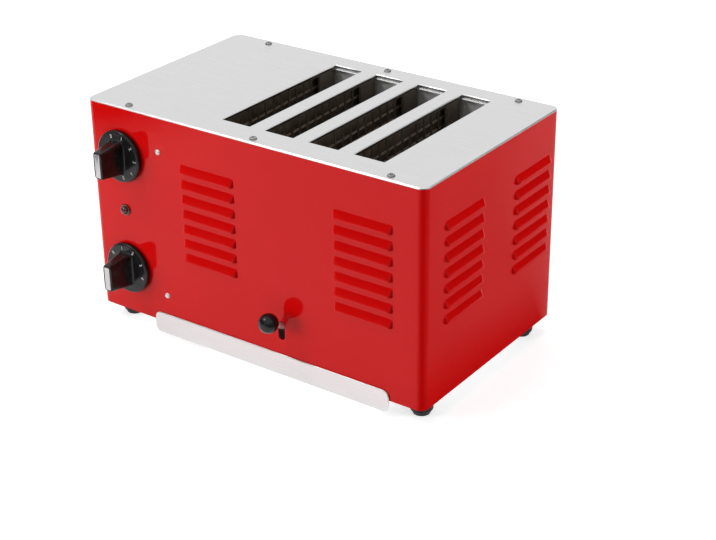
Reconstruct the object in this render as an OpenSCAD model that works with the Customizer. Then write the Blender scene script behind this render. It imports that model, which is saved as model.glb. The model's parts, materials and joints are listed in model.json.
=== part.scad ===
// Four-slot catering toaster with a wrapped sheet casing, a flat top plate and a manual lift lever.
// Z is up, the front panel faces -Y, and the feet stand on z = 0.
// Inside the modules, heights count from the casing's lower edge and depths from its middle.

/* [Casing] */
// Width of the casing
body_w = 370; // [362:1:420]
// Depth of the casing
body_d = 220; // [216:1:280]
// Height of the casing without the feet
body_h = 208; // [200:1:250]
// Outer radius of the upright corners
corner_r = 8; // [5:0.5:12]
// Thickness of the casing, the base and the inner sheets
sheet_t = 1; // [0.8:0.1:1.4]
// Width of the casing's returns at the back
return_w = 24; // [22:1:40]
// Height of the base pan's upturned edge
pan_edge = 15; // [10:1:18]
// Gap round a sheet that is set inside another
seat_gap = 0.2; // [0.1:0.05:0.5]

/* [Louvres] */
// Length of a louvre
louvre_l = 60; // [40:1:66]
// Height of a louvre's hood
louvre_h = 8; // [6:0.5:10]
// How far a hood stands out
louvre_d = 3.5; // [3:0.1:5]
// Height of the upright lip at the foot of a hood
louvre_lip = 1; // [0.6:0.1:1.6]
// How much shorter a hood is at its lip, at each end
louvre_end = 3; // [1:0.5:6]
// Louvres in a group
louvre_n = 7; // [3:1:8]
// Distance between louvres
louvre_pitch = 14.6; // [12:0.1:15.5]
// Height of the lowest lip
louvre_z = 72.5; // [60:0.5:80]
// Middle of a front or rear group from the middle of the bread slots
louvre_front_x = 84; // [72:1:96]
// Middle of a side group from the middle of the pair
louvre_side_y = 56.5; // [36:0.5:60]
// Shift of the pair on a side towards the back
louvre_side_shift = 7.5; // [-8:0.5:8]

/* [Top plate] */
// Thickness of the top plate
top_t = 1.5; // [1:0.1:3]
// Width of a bread slot
slot_w = 31; // [26:0.5:32]
// Length of a bread slot
slot_l = 170; // [150:1:172]
// Distance between bread slots
slot_pitch = 47.5; // [46.5:0.5:49]
// Middle of the bread slots from the middle of the casing
chamber_x = 39; // [37:0.5:41]
// Middle of the bread slots behind the middle of the casing
chamber_y = 3.5; // [0:0.5:4]
// Top screws from the side edges
top_screw_in_x = 42; // [20:1:60]
// Shift of the plate's screws to the right
top_screw_off_x = 3.5; // [-4:0.5:4]
// Top screws from the front and rear edges
top_screw_in_y = 8; // [6:0.5:9.5]
// Width and height of the angle rails under the top plate
rail_w = 14; // [12:0.5:16]

/* [Fasteners] */
// Shank of the screws and rivets
screw_d = 4; // [3:0.5:5]
// Head of the screws
screw_head_d = 7; // [6:0.5:9]
// Head of the front rivets
rivet_head_d = 5.5; // [5:0.5:8]
// Height of a screw or rivet head
screw_head_h = 2; // [1:0.1:3]
// Length of a screw's shank
screw_l = 8; // [6:0.5:10]
// Clearance round a screw, all round
screw_clear = 0.1; // [0.05:0.05:0.3]
// Front rivets from the left side
rivet_in_x = 84; // [80:1:88]
// Upper rivet from the casing's upper edge
rivet_top = 32.5; // [24:0.5:50]
// Lower rivet from the casing's lower edge
rivet_low = 29; // [24:0.5:50]
// Upper and lower rear screws from the casing's edges
rear_screw_in_z = 22; // [21:0.5:40]

/* [Feet] */
// Height of a foot
foot_h = 17; // [14:0.5:24]
// Diameter of a foot
foot_d = 21; // [16:0.5:26]
// Width of the bevel at the foot's lower edge
foot_bevel = 2.5; // [1:0.1:3]
// Feet from the sides
foot_in_x = 17.5; // [15:0.5:21]
// Feet from the front and the back
foot_in_y = 24; // [16:0.5:40]

/* [Controls] */
// Knobs and lamp from the left side
knob_in_x = 39; // [30:0.5:44]
// Timer knob from the casing's upper edge
timer_top = 46; // [42:0.5:60]
// Selector knob's height
selector_z = 47; // [42:0.5:60]
// Lamp's height
lamp_z = 106; // [92:0.5:112]
// Diameter of a knob's skirt
skirt_d = 50; // [40:0.5:52]
// Thickness of a knob's skirt
skirt_h = 4.5; // [4:0.1:7]
// How far the front of a knob stands from the panel
knob_reach = 32; // [26:0.5:40]
// Gap between a knob and the panel
knob_gap = 1; // [0.6:0.1:2]
// Length of the bar grip at the skirt
grip_base_l = 33; // [30:0.5:36]
// Length of the bar grip at its front
grip_front_l = 26; // [18:0.5:28]
// Width of the bar grip at the skirt
grip_base_w = 15; // [12:0.5:18]
// Width of the bar grip at its front
grip_front_w = 10; // [8:0.5:12]
// Length of the bright insert
insert_l = 23; // [14:0.5:24]
// Width of the bright insert
insert_w = 6; // [4:0.5:6]
// Thickness of the bright insert
insert_t = 1.2; // [0.8:0.1:2]
// How far the insert stands out of the grip
insert_proud = 0.4; // [0.2:0.1:0.6]
// Diameter of a control shaft
shaft_d = 6; // [5:0.5:7]
// Diameter of a control's threaded bush
bush_d = 10; // [9:0.5:11]
// Thickness of a control's nut
nut_t = 2.5; // [2:0.1:3.5]
// Nut size across flats
nut_af = 14; // [13:0.5:15]
// Side of the timer's case
timer_side = 44; // [36:1:48]
// Depth of the timer's case
timer_depth = 32; // [24:1:60]
// Diameter of the selector switch
selector_d = 38; // [32:1:42]
// Depth of the selector switch
selector_depth = 28; // [22:1:50]
// Diameter of the lamp's lens
lamp_d = 8; // [6:0.5:10]
// Diameter of the lamp's collar
lamp_collar_d = 11; // [10.5:0.5:14]

/* [Lift lever] */
// Lever from the middle of the bread slots
lever_off_x = -5.5; // [-6:0.5:6]
// Lever pin behind the front panel's outer face
pivot_back = 30; // [28:0.5:34]
// Height of the lever pin
pivot_z = 22; // [20:0.5:26]
// Slope of the lever's rod at rest, in degrees
lever_up = 29; // [26:0.5:32]
// Stroke of the lever, in degrees
lever_travel = 18; // [14:0.5:20]
// Length of the arm that lifts the rack
arm_l = 92; // [80:1:100]
// Height of the lifting arm
arm_h = 8; // [6:0.5:9]
// Width of the lifting arm
arm_w = 12; // [8:0.5:13]
// Radius of the nose on the lifting arm
nose_r = 5; // [4.5:0.1:6]
// Diameter of the lever's rod
rod_d = 6; // [5:0.5:7]
// Diameter of the ball
ball_d = 20; // [16:0.5:24]
// Middle of the ball in front of the panel
ball_reach = 18; // [16:0.5:21]
// Diameter of the lever pin
pin_d = 6; // [5:0.5:7]
// Diameter of the lever's hub
hub_d = 14; // [12:0.5:16]
// Width of the lever's hub
hub_w = 14; // [13:0.5:16]
// Gap round the rod in the panel's slot
lever_slot_gap = 0.6; // [0.4:0.1:1]
// Clearance of a turning or sliding fit, all round
run_gap = 0.05; // [0.02:0.01:0.1]

/* [Bread rack] */
// Height of the rack frame's beams at rest
beam_z = 24; // [23:0.5:28]
// Height of a beam
beam_h = 6; // [5:0.5:8]
// Width of a beam
beam_w = 8; // [6:0.5:10]
// Legs of the bread carriers from the middle
leg_y = 45; // [35:1:50]
// Diameter of a guide rod
guide_d = 6; // [5:0.5:7]
// Diameter of a guide sleeve
sleeve_d = 12; // [10:0.5:13]
// Length of a guide sleeve
sleeve_l = 20; // [16:0.5:24]
// Width of a bread carrier
carrier_w = 10; // [8:0.5:14]
// Depth of a carrier's turned-down edges
carrier_edge = 5; // [3:0.5:6]
// Gap between the lever's nose and the rack at rest
nose_gap = 0.3; // [0.2:0.05:0.4]

/* [Heating elements] */
// Wire of the element cages
wire_d = 2; // [1.6:0.1:2.6]
// Wires on each face of a cage
wire_n = 13; // [5:1:15]
// Length of the plain plate over the terminals at the back of a cage
terminal_l = 23; // [12:0.5:30]
// Thickness of a mica card
card_t = 1; // [0.6:0.1:1.4]
// Turns of ribbon on a card
ribbon_n = 13; // [6:1:16]
// Width of the ribbon
ribbon_w = 2.2; // [1.5:0.1:3]
// Thickness of the ribbon
ribbon_t = 0.5; // [0.3:0.1:0.6]

/* [Crumb tray] */
// Length of the tray's front lip
lip_l = 267; // [220:1:270]
// Middle of the lip from the middle of the casing
lip_x = 16.5; // [14:0.5:18]
// Height of the lip above the casing's lower edge
lip_up = 9.5; // [6:0.5:14]
// Radius of the lip's corners
lip_r = 7; // [3:0.5:8]
// Gap between the lip and the front panel
lip_gap = 0.6; // [0.4:0.1:2]
// Width of the tray between its sides
tray_w = 196; // [170:1:198]
// Depth of the tray's floor below the casing
tray_drop = 12; // [7:0.5:13]
// Thickness of the tray sheet
tray_t = 1; // [0.8:0.1:1.4]
// Width of the tray's side flanges
tray_flange = 6; // [5:0.5:7]
// Depth of the flanges below the casing
flange_drop = 2; // [1.5:0.1:3]
// Gap between a flange and its runner
runner_gap = 0.3; // [0.2:0.05:0.5]

/* [Supply inlet] */
// Gland from the edge of the casing's left return
gland_in_x = 20; // [18:0.5:40]
// Height of the gland
gland_z = 40; // [36:0.5:60]
// How far the gland stands out at the back
gland_reach = 10; // [8:0.5:16]
// Thread of the gland
gland_d = 20; // [16:0.5:22]
// Bore of the gland
gland_bore = 9; // [8:0.5:11]

/* [Hidden] */
$fn = 48;

// Overlap of a cut past the face that it opens, and length of a cut right through
cut = 0.5;
through = 40;
slot_n = 4;

// Small sizes of the lever, its bracket and its pin
cheek_t = 1.5;
cheek_gap = 0.5;
bracket_d = 24;
pin_head_t = 2;
pin_head_rim = 1.5;
pad_w = 16;
pad_front = 3;
pad_l = 12;

// Small sizes of the toasting chamber
wall_gap = 2;
side_gap = 4;
rack_clear = 3;
chamber_top_gap = 0.5;
ledge_w = 16;
ledge_up = 10;
cage_clear = 0.5;
cage_top_gap = 1.5;
cage_end_gap = 3;
cage_plate_t = 1.2;
cage_web_rim = 1;
card_end_gap = 8;
ribbon_seat = 0.1;
ribbon_margin = 8;
carrier_over_rail = 5;
carrier_end_gap = 10;
carrier_t = 1.2;
carrier_leg_w = 8;
carrier_hole_l = 12;
carrier_hole_n = 6;
guide_in_y = 9;

// Small sizes of the controls
bush_past_nut = 1;
bush_in = 7;
shaft_in = 10;
shaft_end_gap = 4;
shaft_cover = 10;
nut_recess_gap = 1.5;
skirt_bevel = 2;
insert_rim = 1;
shield_flange = 14;
timer_plate_t = 1.5;
timer_plate_rim = 2;
blade_t = 0.8;
blade_w = 6.3;
blade_l = 9;
blade_in = 6;
blade_n = 6;
lamp_neck = 4;
lamp_collar_h = 1.5;
lamp_holder_l = 22;
lamp_holder_rim = 1;
dome_steps = 4;

// Small sizes of the tray, the runners and the feet
crumb_edge = 3;
tray_past_wall = 8;
tray_front_gap = 4;
runner_t = 1.2;
runner_ledge = 5;
flange_side_gap = 1;
foot_clear = 0.3;
foot_screw_seat = 4;

// Small sizes of the supply inlet
gland_collar_h = 5;
gland_collar_rim = 2;
gland_thread_l = 10;
gland_neck_rim = 1;
gland_bevel = 3;
gland_nut_t = 4;
gland_nut_rim = 3;
block_l = 54;
block_w = 22;
block_h = 20;
pole_n = 3;
pole_step = 16;
pole_screw_y = 5;
pole_screw_d = 5;
pole_wire_z = 6;
pole_wire_d = 6;
half_w = body_w / 2;
half_d = body_d / 2;
top_z = body_h - top_t;
front_y = -half_d;
rear_face_y = half_d - sheet_t;
rear_inner_y = rear_face_y - sheet_t;

// The whole part is centred front to back on what stands out of it
front_reach = max(knob_reach, ball_reach + ball_d / 2, lip_gap + tray_t);
rear_reach = max(gland_reach, screw_head_h, louvre_d - sheet_t);
origin_y = (front_reach - rear_reach) / 2;

// Lever and rack
lever_x = chamber_x + lever_off_x;
arm_down = lever_travel / 2;
pivot_y = front_y + pivot_back;
lift = 2 * arm_l * sin(arm_down);
nose_y = pivot_y + arm_l * cos(arm_down);
nose_top = pivot_z - arm_l * sin(arm_down) + nose_r;
pad_z = nose_top + nose_gap;
ball_z = pivot_z + (pivot_back + ball_reach) * tan(lever_up);
rod_l = (pivot_back + ball_reach) / cos(lever_up);
rod_half = rod_d / 2;
lever_slot_top = pivot_z + pivot_back * tan(lever_up) + rod_half / cos(lever_up) + lever_slot_gap;
lever_low = lever_up - lever_travel;
lever_slot_low = pivot_z + (pivot_back - sheet_t) * tan(lever_low) - rod_half / cos(lever_low)
    - lever_slot_gap;
lever_slot_w = rod_d + 2 * lever_slot_gap;
bracket_w = hub_w + 2 * (cheek_gap + cheek_t);

// Toasting chamber
wall_y = slot_l / 2 + wall_gap;
cage_half = (slot_pitch - slot_w) / 2 - cage_clear;
chamber_half = slot_n / 2 * slot_pitch + cage_half + side_gap;
sleeve_z = beam_z - (sleeve_l - beam_h) / 2;
rail_z = max(sleeve_z + sleeve_l, beam_z + beam_h) + lift + rack_clear;
cage_z = rail_z + sheet_t;
cage_top = top_z - cage_top_gap;
cage_half_l = wall_y - sheet_t - cage_end_gap;
carrier_z = rail_z + sheet_t + carrier_over_rail;
carrier_half_l = wall_y - carrier_end_gap;
guide_y = wall_y - guide_in_y;

// Element ribbon: one flat strip wound up a card, half a pitch for each face
card_half_l = cage_half_l - card_end_gap;
card_z = cage_z + cage_plate_t;
card_h = cage_top - cage_plate_t - card_z;
ribbon_x = card_t / 2 + ribbon_seat + ribbon_t / 2;
ribbon_y = card_half_l + ribbon_seat + ribbon_t / 2;
ribbon_pitch = (card_h - 2 * ribbon_margin) / ribbon_n;

// Controls
knob_x = -half_w + knob_in_x;
timer_z = top_z - timer_top;
insert_len = min(insert_l, grip_front_l - 2 * insert_rim);
bush_out = nut_t + bush_past_nut;
shaft_out = knob_reach - shaft_cover;
shield_x = -half_w + rivet_in_x + shield_flange / 2;

// Base, tray and runners
crumb_half_w = tray_w / 2 - tray_t;
crumb_front = pivot_y + bracket_d / 2 + crumb_edge;
crumb_rear = chamber_y + guide_y - guide_d / 2 - crumb_edge;
tray_rear = chamber_y + wall_y + tray_past_wall;
runner_x = tray_w / 2 + tray_flange + flange_side_gap;
runner_out = chamber_x + runner_x + runner_t;
foot_x = max(half_w - foot_in_x, runner_out + foot_clear + foot_d / 2);
foot_y = half_d - foot_in_y;
gland_x = -half_w + return_w + gland_in_x;

function slot_x(i) = chamber_x + (i - (slot_n - 1) / 2) * slot_pitch;
function element_x(k) = chamber_x + (k - slot_n / 2) * slot_pitch;
function screw_hole() = screw_d + 2 * screw_clear;

// Puts a module's frame on the feet and centres the part
module placed() {
    translate([0, origin_y, foot_h]) children();
}

// Puts the toasting chamber's own frame in its place
module in_chamber() {
    placed() translate([0, chamber_y, 0]) children();
}

// Faces of the casing: the children are drawn for the front, with -Y as the outward side
module on_front() {
    translate([0, front_y, 0]) children();
}

module on_right() {
    translate([half_w, 0, 0]) rotate([0, 0, 90]) children();
}

module on_sides() {
    on_right() children();
    mirror([1, 0, 0]) on_right() children();
}

module on_rear() {
    translate([0, rear_face_y, 0]) rotate([0, 0, 180]) children();
}

// Turns a revolved shape so that its axis runs out of the front panel
module facing_front(x, z) {
    translate([x, front_y, z]) rotate([90, 0, 0]) children();
}

module rounded_plan(w, d, r) {
    square([w - 2 * r, d], center = true);
    square([w, d - 2 * r], center = true);
    for (sx = [-1, 1], sy = [-1, 1])
        translate([sx * (w / 2 - r), sy * (d / 2 - r)]) circle(r);
}

// Section of a bent angle: one leg along x, one along y, with the corner at the origin
module angle_section(x_leg, y_leg, t) {
    polygon([[0, 0], [x_leg, 0], [x_leg, t], [t, t], [t, y_leg], [0, y_leg]]);
}

// A symmetric outline that narrows from base at z0 to tip at z1
module taper_section(base, tip, z0, z1) {
    polygon([[-base / 2, z0], [base / 2, z0], [tip / 2, z1], [-tip / 2, z1]]);
}

// Louvres

// A wedge between a side profile (depth, height) and a plan outline (length, depth)
module louvre_wedge(side, plan, l, h) {
    intersection() {
        rotate([90, 0, 90]) translate([0, 0, -l / 2]) linear_extrude(l) polygon(side);
        translate([0, 0, -cut]) linear_extrude(h + 2 * cut) polygon(plan);
    }
}

module louvre_hood() {
    root = sheet_t / 2;
    side = [[root, 0], [-louvre_d, 0], [-louvre_d, louvre_lip], [0, louvre_h], [root, louvre_h]];
    end = louvre_l / 2;
    plan = [[-end, sheet_t], [-end, 0], [-end + louvre_end, -louvre_d], [end - louvre_end, -louvre_d],
        [end, 0], [end, sheet_t]];
    louvre_wedge(side, plan, louvre_l, louvre_h);
}

module louvre_cut() {
    slope = (louvre_h - louvre_lip) / louvre_d;
    drop = sheet_t * sqrt(1 + slope * slope);
    inside = sheet_t + cut;
    lip_y = sheet_t - louvre_d;
    lip_z = louvre_lip + sheet_t * slope - drop;
    side = [[inside, -cut], [lip_y, -cut], [lip_y, lip_z], [inside, lip_z + (inside - lip_y) * slope]];
    end = louvre_l / 2 - sheet_t;
    plan = [[-end, inside], [-end, 0], [-end + louvre_end, -louvre_d], [end - louvre_end, -louvre_d],
        [end, 0], [end, inside]];
    louvre_wedge(side, plan, louvre_l, louvre_h);
}

module louvre_pair(middle, spread) {
    for (s = [-1, 1], i = [0 : louvre_n - 1])
        translate([middle + s * spread, 0, louvre_z + i * louvre_pitch]) children();
}

// Sheet metal of the outside

module casing_shell() {
    difference() {
        linear_extrude(top_z) rounded_plan(body_w, body_d, corner_r);
        translate([0, 0, -cut]) linear_extrude(top_z + 2 * cut)
            rounded_plan(body_w - 2 * sheet_t, body_d - 2 * sheet_t, corner_r - sheet_t);
        translate([return_w - half_w, 0, -cut]) cube([body_w - 2 * return_w, body_d, top_z + 2 * cut]);
    }
}

module panel_hole(x, z, d) {
    facing_front(x, z) cylinder(d = d, h = through, center = true);
}

module lever_slot() {
    r = lever_slot_w / 2;
    facing_front(lever_x, 0) linear_extrude(through, center = true) {
        translate([-r, lever_slot_low + r]) square([2 * r, lever_slot_top - lever_slot_low - 2 * r]);
        translate([0, lever_slot_low + r]) circle(r);
        translate([0, lever_slot_top - r]) circle(r);
    }
}

module rear_screw_places() {
    for (s = [-1, 1], z = [rear_screw_in_z, top_z / 2, top_z - rear_screw_in_z])
        translate([s * (half_w - (return_w + corner_r) / 2), half_d, z]) rotate([-90, 0, 0]) children();
}

module rivet_places() {
    for (z = [rivet_low, top_z - rivet_top])
        facing_front(-half_w + rivet_in_x, z) children();
}

module screw_cut() {
    cylinder(d = screw_hole(), h = through, center = true);
}

module casing() {
    color("red") difference() {
        union() {
            casing_shell();
            on_front() louvre_pair(chamber_x, louvre_front_x) louvre_hood();
            on_sides() louvre_pair(louvre_side_shift, louvre_side_y) louvre_hood();
        }
        on_front() louvre_pair(chamber_x, louvre_front_x) louvre_cut();
        on_sides() louvre_pair(louvre_side_shift, louvre_side_y) louvre_cut();
        for (z = [timer_z, selector_z])
            panel_hole(knob_x, z, bush_d + 2 * screw_clear);
        panel_hole(knob_x, lamp_z, lamp_d + 2 * screw_clear);
        rivet_places() screw_cut();
        rear_screw_places() screw_cut();
        lever_slot();
    }
}

module rear_panel() {
    w = body_w - 2 * corner_r - 2 * seat_gap;
    color("red") difference() {
        union() {
            translate([-w / 2, rear_inner_y, seat_gap]) cube([w, sheet_t, top_z - 2 * seat_gap]);
            on_rear() louvre_pair(-chamber_x, louvre_front_x) louvre_hood();
        }
        on_rear() louvre_pair(-chamber_x, louvre_front_x) louvre_cut();
        rear_screw_places() screw_cut();
        gland_place() cylinder(d = gland_d + 2 * screw_clear, h = through, center = true);
    }
}

module top_screw_places(sides = [-1, 1]) {
    for (sy = sides, sx = [-1, 0, 1]) {
        x = top_screw_off_x + sx * (half_w - top_screw_in_x);
        translate([x, sy * (half_d - top_screw_in_y), body_h]) children();
    }
}

module top_plate() {
    color("silver") difference() {
        translate([0, 0, top_z]) linear_extrude(top_t) rounded_plan(body_w, body_d, corner_r);
        for (i = [0 : slot_n - 1])
            translate([slot_x(i) - slot_w / 2, chamber_y - slot_l / 2, top_z - cut])
                cube([slot_w, slot_l, top_t + 2 * cut]);
        top_screw_places() screw_cut();
    }
}

// An angle with one leg on the panel and one under the top plate
module top_rail(side) {
    l = body_w - 2 * corner_r - 2 * sheet_t;
    y = side < 0 ? front_y + sheet_t : -rear_inner_y;
    color("silver") difference() {
        mirror([0, side < 0 ? 0 : 1, 0]) translate([-l / 2, y, top_z]) rotate([90, 0, 90])
            linear_extrude(l) mirror([0, 1]) angle_section(rail_w, rail_w, sheet_t);
        top_screw_places([side]) screw_cut();
    }
}

module base_pan() {
    w = body_w - 2 * sheet_t - 2 * seat_gap;
    y0 = front_y + sheet_t + seat_gap;
    d = rear_inner_y - seat_gap - y0;
    r = corner_r - sheet_t;
    middle = y0 + d / 2;
    color("silver") difference() {
        translate([0, middle, 0]) linear_extrude(pan_edge) rounded_plan(w, d, r);
        translate([0, middle, sheet_t]) linear_extrude(pan_edge)
            rounded_plan(w - 2 * sheet_t, d - 2 * sheet_t, r - sheet_t);
        translate([chamber_x - crumb_half_w, crumb_front, -cut])
            cube([2 * crumb_half_w, crumb_rear - crumb_front, sheet_t + 2 * cut]);
        foot_places() screw_cut();
    }
}

module foot_places() {
    for (sx = [-1, 1], sy = [-1, 1])
        translate([sx * foot_x, sy * foot_y, 0]) children();
}

module rubber_foot(sx, sy) {
    top_r = foot_d / 2;
    low_r = top_r - foot_bevel;
    hole_r = screw_hole() / 2;
    seat_r = screw_head_d / 2 + 2 * screw_clear;
    color("black") translate([sx * foot_x, sy * foot_y, -foot_h]) rotate_extrude()
        polygon([[seat_r, 0], [low_r, 0], [top_r, 2 * foot_bevel], [top_r, foot_h], [hole_r, foot_h],
            [hole_r, foot_screw_seat], [seat_r, foot_screw_seat]]);
}

module foot_screws() {
    color("silver") foot_places() translate([0, 0, -foot_h + foot_screw_seat]) {
        translate([0, 0, -screw_head_h]) cylinder(d = screw_head_d, h = screw_head_h);
        cylinder(d = screw_d, h = foot_h - foot_screw_seat + screw_l);
    }
}

// A domed screw or rivet head with its shank below z = 0
module dome_screw(head_d) {
    dome = [for (i = [0 : dome_steps]) let (a = 90 * i / dome_steps)
        [head_d / 2 * cos(a), screw_head_h * sin(a)]];
    rotate_extrude() polygon(concat([[0, -screw_l], [screw_d / 2, -screw_l], [screw_d / 2, 0]], dome));
}

module top_plate_screws() {
    color("silver") top_screw_places() dome_screw(screw_head_d);
}

module rear_screws() {
    color("silver") rear_screw_places() dome_screw(screw_head_d);
}

module front_rivets() {
    color("silver") rivet_places() dome_screw(rivet_head_d);
}

// Inner sheets

module control_shield() {
    z0 = pan_edge + chamber_top_gap;
    z1 = top_z - rail_w - chamber_top_gap;
    y0 = front_y + sheet_t;
    inner = sheet_t + 2 * seat_gap;
    color("gainsboro") difference() {
        union() {
            translate([shield_x - sheet_t, y0, z0]) cube([sheet_t, rear_inner_y - y0, z1 - z0]);
            translate([shield_x - sheet_t, y0 + inner, sheet_t])
                cube([sheet_t, rear_inner_y - y0 - 2 * inner, z1 - sheet_t]);
            translate([shield_x - shield_flange, y0, z0]) cube([shield_flange, sheet_t, z1 - z0]);
        }
        rivet_places() screw_cut();
    }
}

module chamber_end(y, z0) {
    color("gainsboro") translate([chamber_x - chamber_half, y, z0])
        cube([2 * chamber_half, sheet_t, top_z - chamber_top_gap - z0]);
}

module chamber_side(x) {
    color("gainsboro") translate([x, -wall_y - sheet_t, sheet_t])
        cube([sheet_t, 2 * (wall_y + sheet_t), top_z - chamber_top_gap - sheet_t]);
}

// A ledge along an end wall that carries the element cages
module element_rail(side) {
    color("gainsboro") mirror([0, side < 0 ? 0 : 1, 0])
        translate([chamber_x - chamber_half, -wall_y, rail_z]) rotate([90, 0, 90])
            linear_extrude(2 * chamber_half) angle_section(ledge_w, ledge_up, sheet_t);
}

// Heating elements

module cage_plate() {
    web = card_t + 2 * cage_web_rim;
    rim = 2 * wire_d;
    window_l = 2 * cage_half_l - 4 * rim;
    window_w = cage_half - rim / 2 - web / 2 - wire_d / 2;
    difference() {
        translate([-cage_half, -cage_half_l, 0]) cube([2 * cage_half, 2 * cage_half_l, cage_plate_t]);
        for (s = [-1, 1])
            translate([s * (web + window_w) / 2, 0, cage_plate_t / 2])
                cube([window_w, window_l, 2 * cage_plate_t], center = true);
    }
}

// Two end plates joined by guard wires on both faces, and by plain plates over the terminals at the back
module element_cage(k) {
    cage_h = cage_top - cage_z;
    wire_front = 2 * wire_d - cage_half_l;
    terminal_y = cage_half_l - terminal_l;
    wire_step = (terminal_y - wire_front) / (wire_n - 1);
    color("silver") translate([element_x(k), 0, cage_z]) {
        cage_plate();
        translate([0, 0, cage_h - cage_plate_t]) cage_plate();
        for (s = [-1, 1]) {
            for (i = [0 : wire_n - 1])
                translate([s * (cage_half - wire_d / 2 - seat_gap), wire_front + i * wire_step, 0])
                    cylinder(d = wire_d, h = cage_h);
            translate([s * (cage_half - cage_plate_t / 2) - cage_plate_t / 2, terminal_y, 0])
                cube([cage_plate_t, terminal_l, cage_h]);
        }
    }
}

module mica_cards() {
    color("tan") for (k = [0 : slot_n])
        translate([element_x(k) - card_t / 2, -card_half_l, card_z])
            cube([card_t, 2 * card_half_l, card_h]);
}

// Corners of the wound ribbon: four to a turn, rising half a pitch along each face
ribbon_corner = [[1, -1], [1, 1], [-1, 1], [-1, -1]];
ribbon_path = [for (i = [0 : 4 * ribbon_n - 1]) let (c = ribbon_corner[i % 4])
    [c[0] * ribbon_x, c[1] * ribbon_y, card_z + ribbon_margin + ribbon_pitch / 2 * floor((i + 1) / 2)]];

// The strip's four edges at one corner, mitred in plan
function ribbon_ring(i) = let (p = ribbon_path[i], c = ribbon_corner[i % 4])
    [for (e = [[-1, -1], [1, -1], [1, 1], [-1, 1]])
        [p[0] + e[0] * c[0] * ribbon_t / 2, p[1] + e[0] * c[1] * ribbon_t / 2, p[2] + e[1] * ribbon_w / 2]];

// Least gap between parts of the strip that don't follow each other
ribbon_gap = min(2 * ribbon_x - ribbon_t, min([for (i = [0 : len(ribbon_path) - 5])
    norm(ribbon_path[i + 4] - ribbon_path[i]) - ribbon_w]));
echo(ribbon_gap = ribbon_gap);

module ribbon() {
    n = len(ribbon_path);
    last = 4 * (n - 1);
    points = [for (i = [0 : n - 1]) each ribbon_ring(i)];
    sides = [for (i = [0 : n - 2], s = [0 : 3]) let (a = 4 * i + s, b = 4 * i + (s + 1) % 4)
        each [[a, b, a + 4], [b, b + 4, a + 4]]];
    ends = [[0, 2, 1], [0, 3, 2], [last, last + 1, last + 2], [last, last + 2, last + 3]];
    polyhedron(points, concat(sides, ends));
}

module element_ribbons() {
    color("peru") for (k = [0 : slot_n])
        translate([element_x(k), 0, 0]) ribbon();
}

// Lift lever and bread rack

module lever_bracket() {
    base = sheet_t;
    color("silver") difference() {
        union() {
            translate([lever_x - bracket_w / 2, pivot_y - bracket_d / 2, base])
                cube([bracket_w, bracket_d, cheek_t]);
            for (s = [-1, 1])
                translate([lever_x + s * (bracket_w - cheek_t) / 2, pivot_y, 0]) {
                    translate([-cheek_t / 2, -hub_d / 2, base]) cube([cheek_t, hub_d, pivot_z - base]);
                    translate([0, 0, pivot_z]) rotate([0, 90, 0])
                        cylinder(d = hub_d, h = cheek_t, center = true);
                }
        }
        translate([lever_x, pivot_y, pivot_z]) rotate([0, 90, 0])
            cylinder(d = pin_d + 2 * run_gap, h = through, center = true);
    }
}

module lever_pin() {
    color("silver") translate([lever_x, pivot_y, pivot_z]) rotate([0, 90, 0]) {
        cylinder(d = pin_d, h = bracket_w + 2 * pin_head_t, center = true);
        for (s = [-1, 1])
            translate([0, 0, s * (bracket_w + pin_head_t) / 2])
                cylinder(d = pin_d + 2 * pin_head_rim, h = pin_head_t, center = true);
    }
}

module lift_lever() {
    color("silver") translate([lever_x, pivot_y, pivot_z]) difference() {
        union() {
            rotate([0, 90, 0]) cylinder(d = hub_d, h = hub_w, center = true);
            rotate([90 - lever_up, 0, 0]) cylinder(d = rod_d, h = rod_l);
            rotate([-arm_down, 0, 0]) {
                translate([-arm_w / 2, 0, -arm_h / 2]) cube([arm_w, arm_l, arm_h]);
                translate([0, arm_l, 0]) rotate([0, 90, 0]) cylinder(r = nose_r, h = arm_w, center = true);
            }
        }
        rotate([0, 90, 0]) cylinder(d = pin_d + 2 * run_gap, h = through, center = true);
    }
}

module lever_ball() {
    color("black") difference() {
        translate([lever_x, front_y - ball_reach, ball_z]) sphere(d = ball_d);
        translate([lever_x, pivot_y, pivot_z]) rotate([90 - lever_up, 0, 0])
            cylinder(d = rod_d + 2 * run_gap, h = rod_l + screw_clear);
    }
}

module guide_places() {
    for (s = [-1, 1])
        translate([chamber_x + s * slot_pitch, s * guide_y, 0]) children();
}

module guide_rods() {
    color("silver") guide_places() translate([0, 0, sheet_t]) cylinder(d = guide_d, h = rail_z - sheet_t);
}

module rack_frame() {
    span = slot_x(slot_n - 1) - slot_x(0) + beam_w;
    color("silver") difference() {
        union() {
            for (s = [-1, 1]) {
                translate([chamber_x - span / 2, s * leg_y - beam_w / 2, beam_z])
                    cube([span, beam_w, beam_h]);
                translate([chamber_x + s * slot_pitch - beam_w / 2, s < 0 ? -guide_y : -leg_y, beam_z])
                    cube([beam_w, guide_y + leg_y, beam_h]);
            }
            translate([lever_x - beam_w / 2, -leg_y, beam_z]) cube([beam_w, 2 * leg_y, beam_h]);
            translate([lever_x - pad_w / 2, nose_y - chamber_y - pad_front, pad_z])
                cube([pad_w, pad_l, beam_z + beam_h - pad_z]);
            guide_places() translate([0, 0, sleeve_z]) cylinder(d = sleeve_d, h = sleeve_l);
        }
        guide_places() cylinder(d = guide_d + 2 * run_gap, h = rail_z);
    }
}

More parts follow.
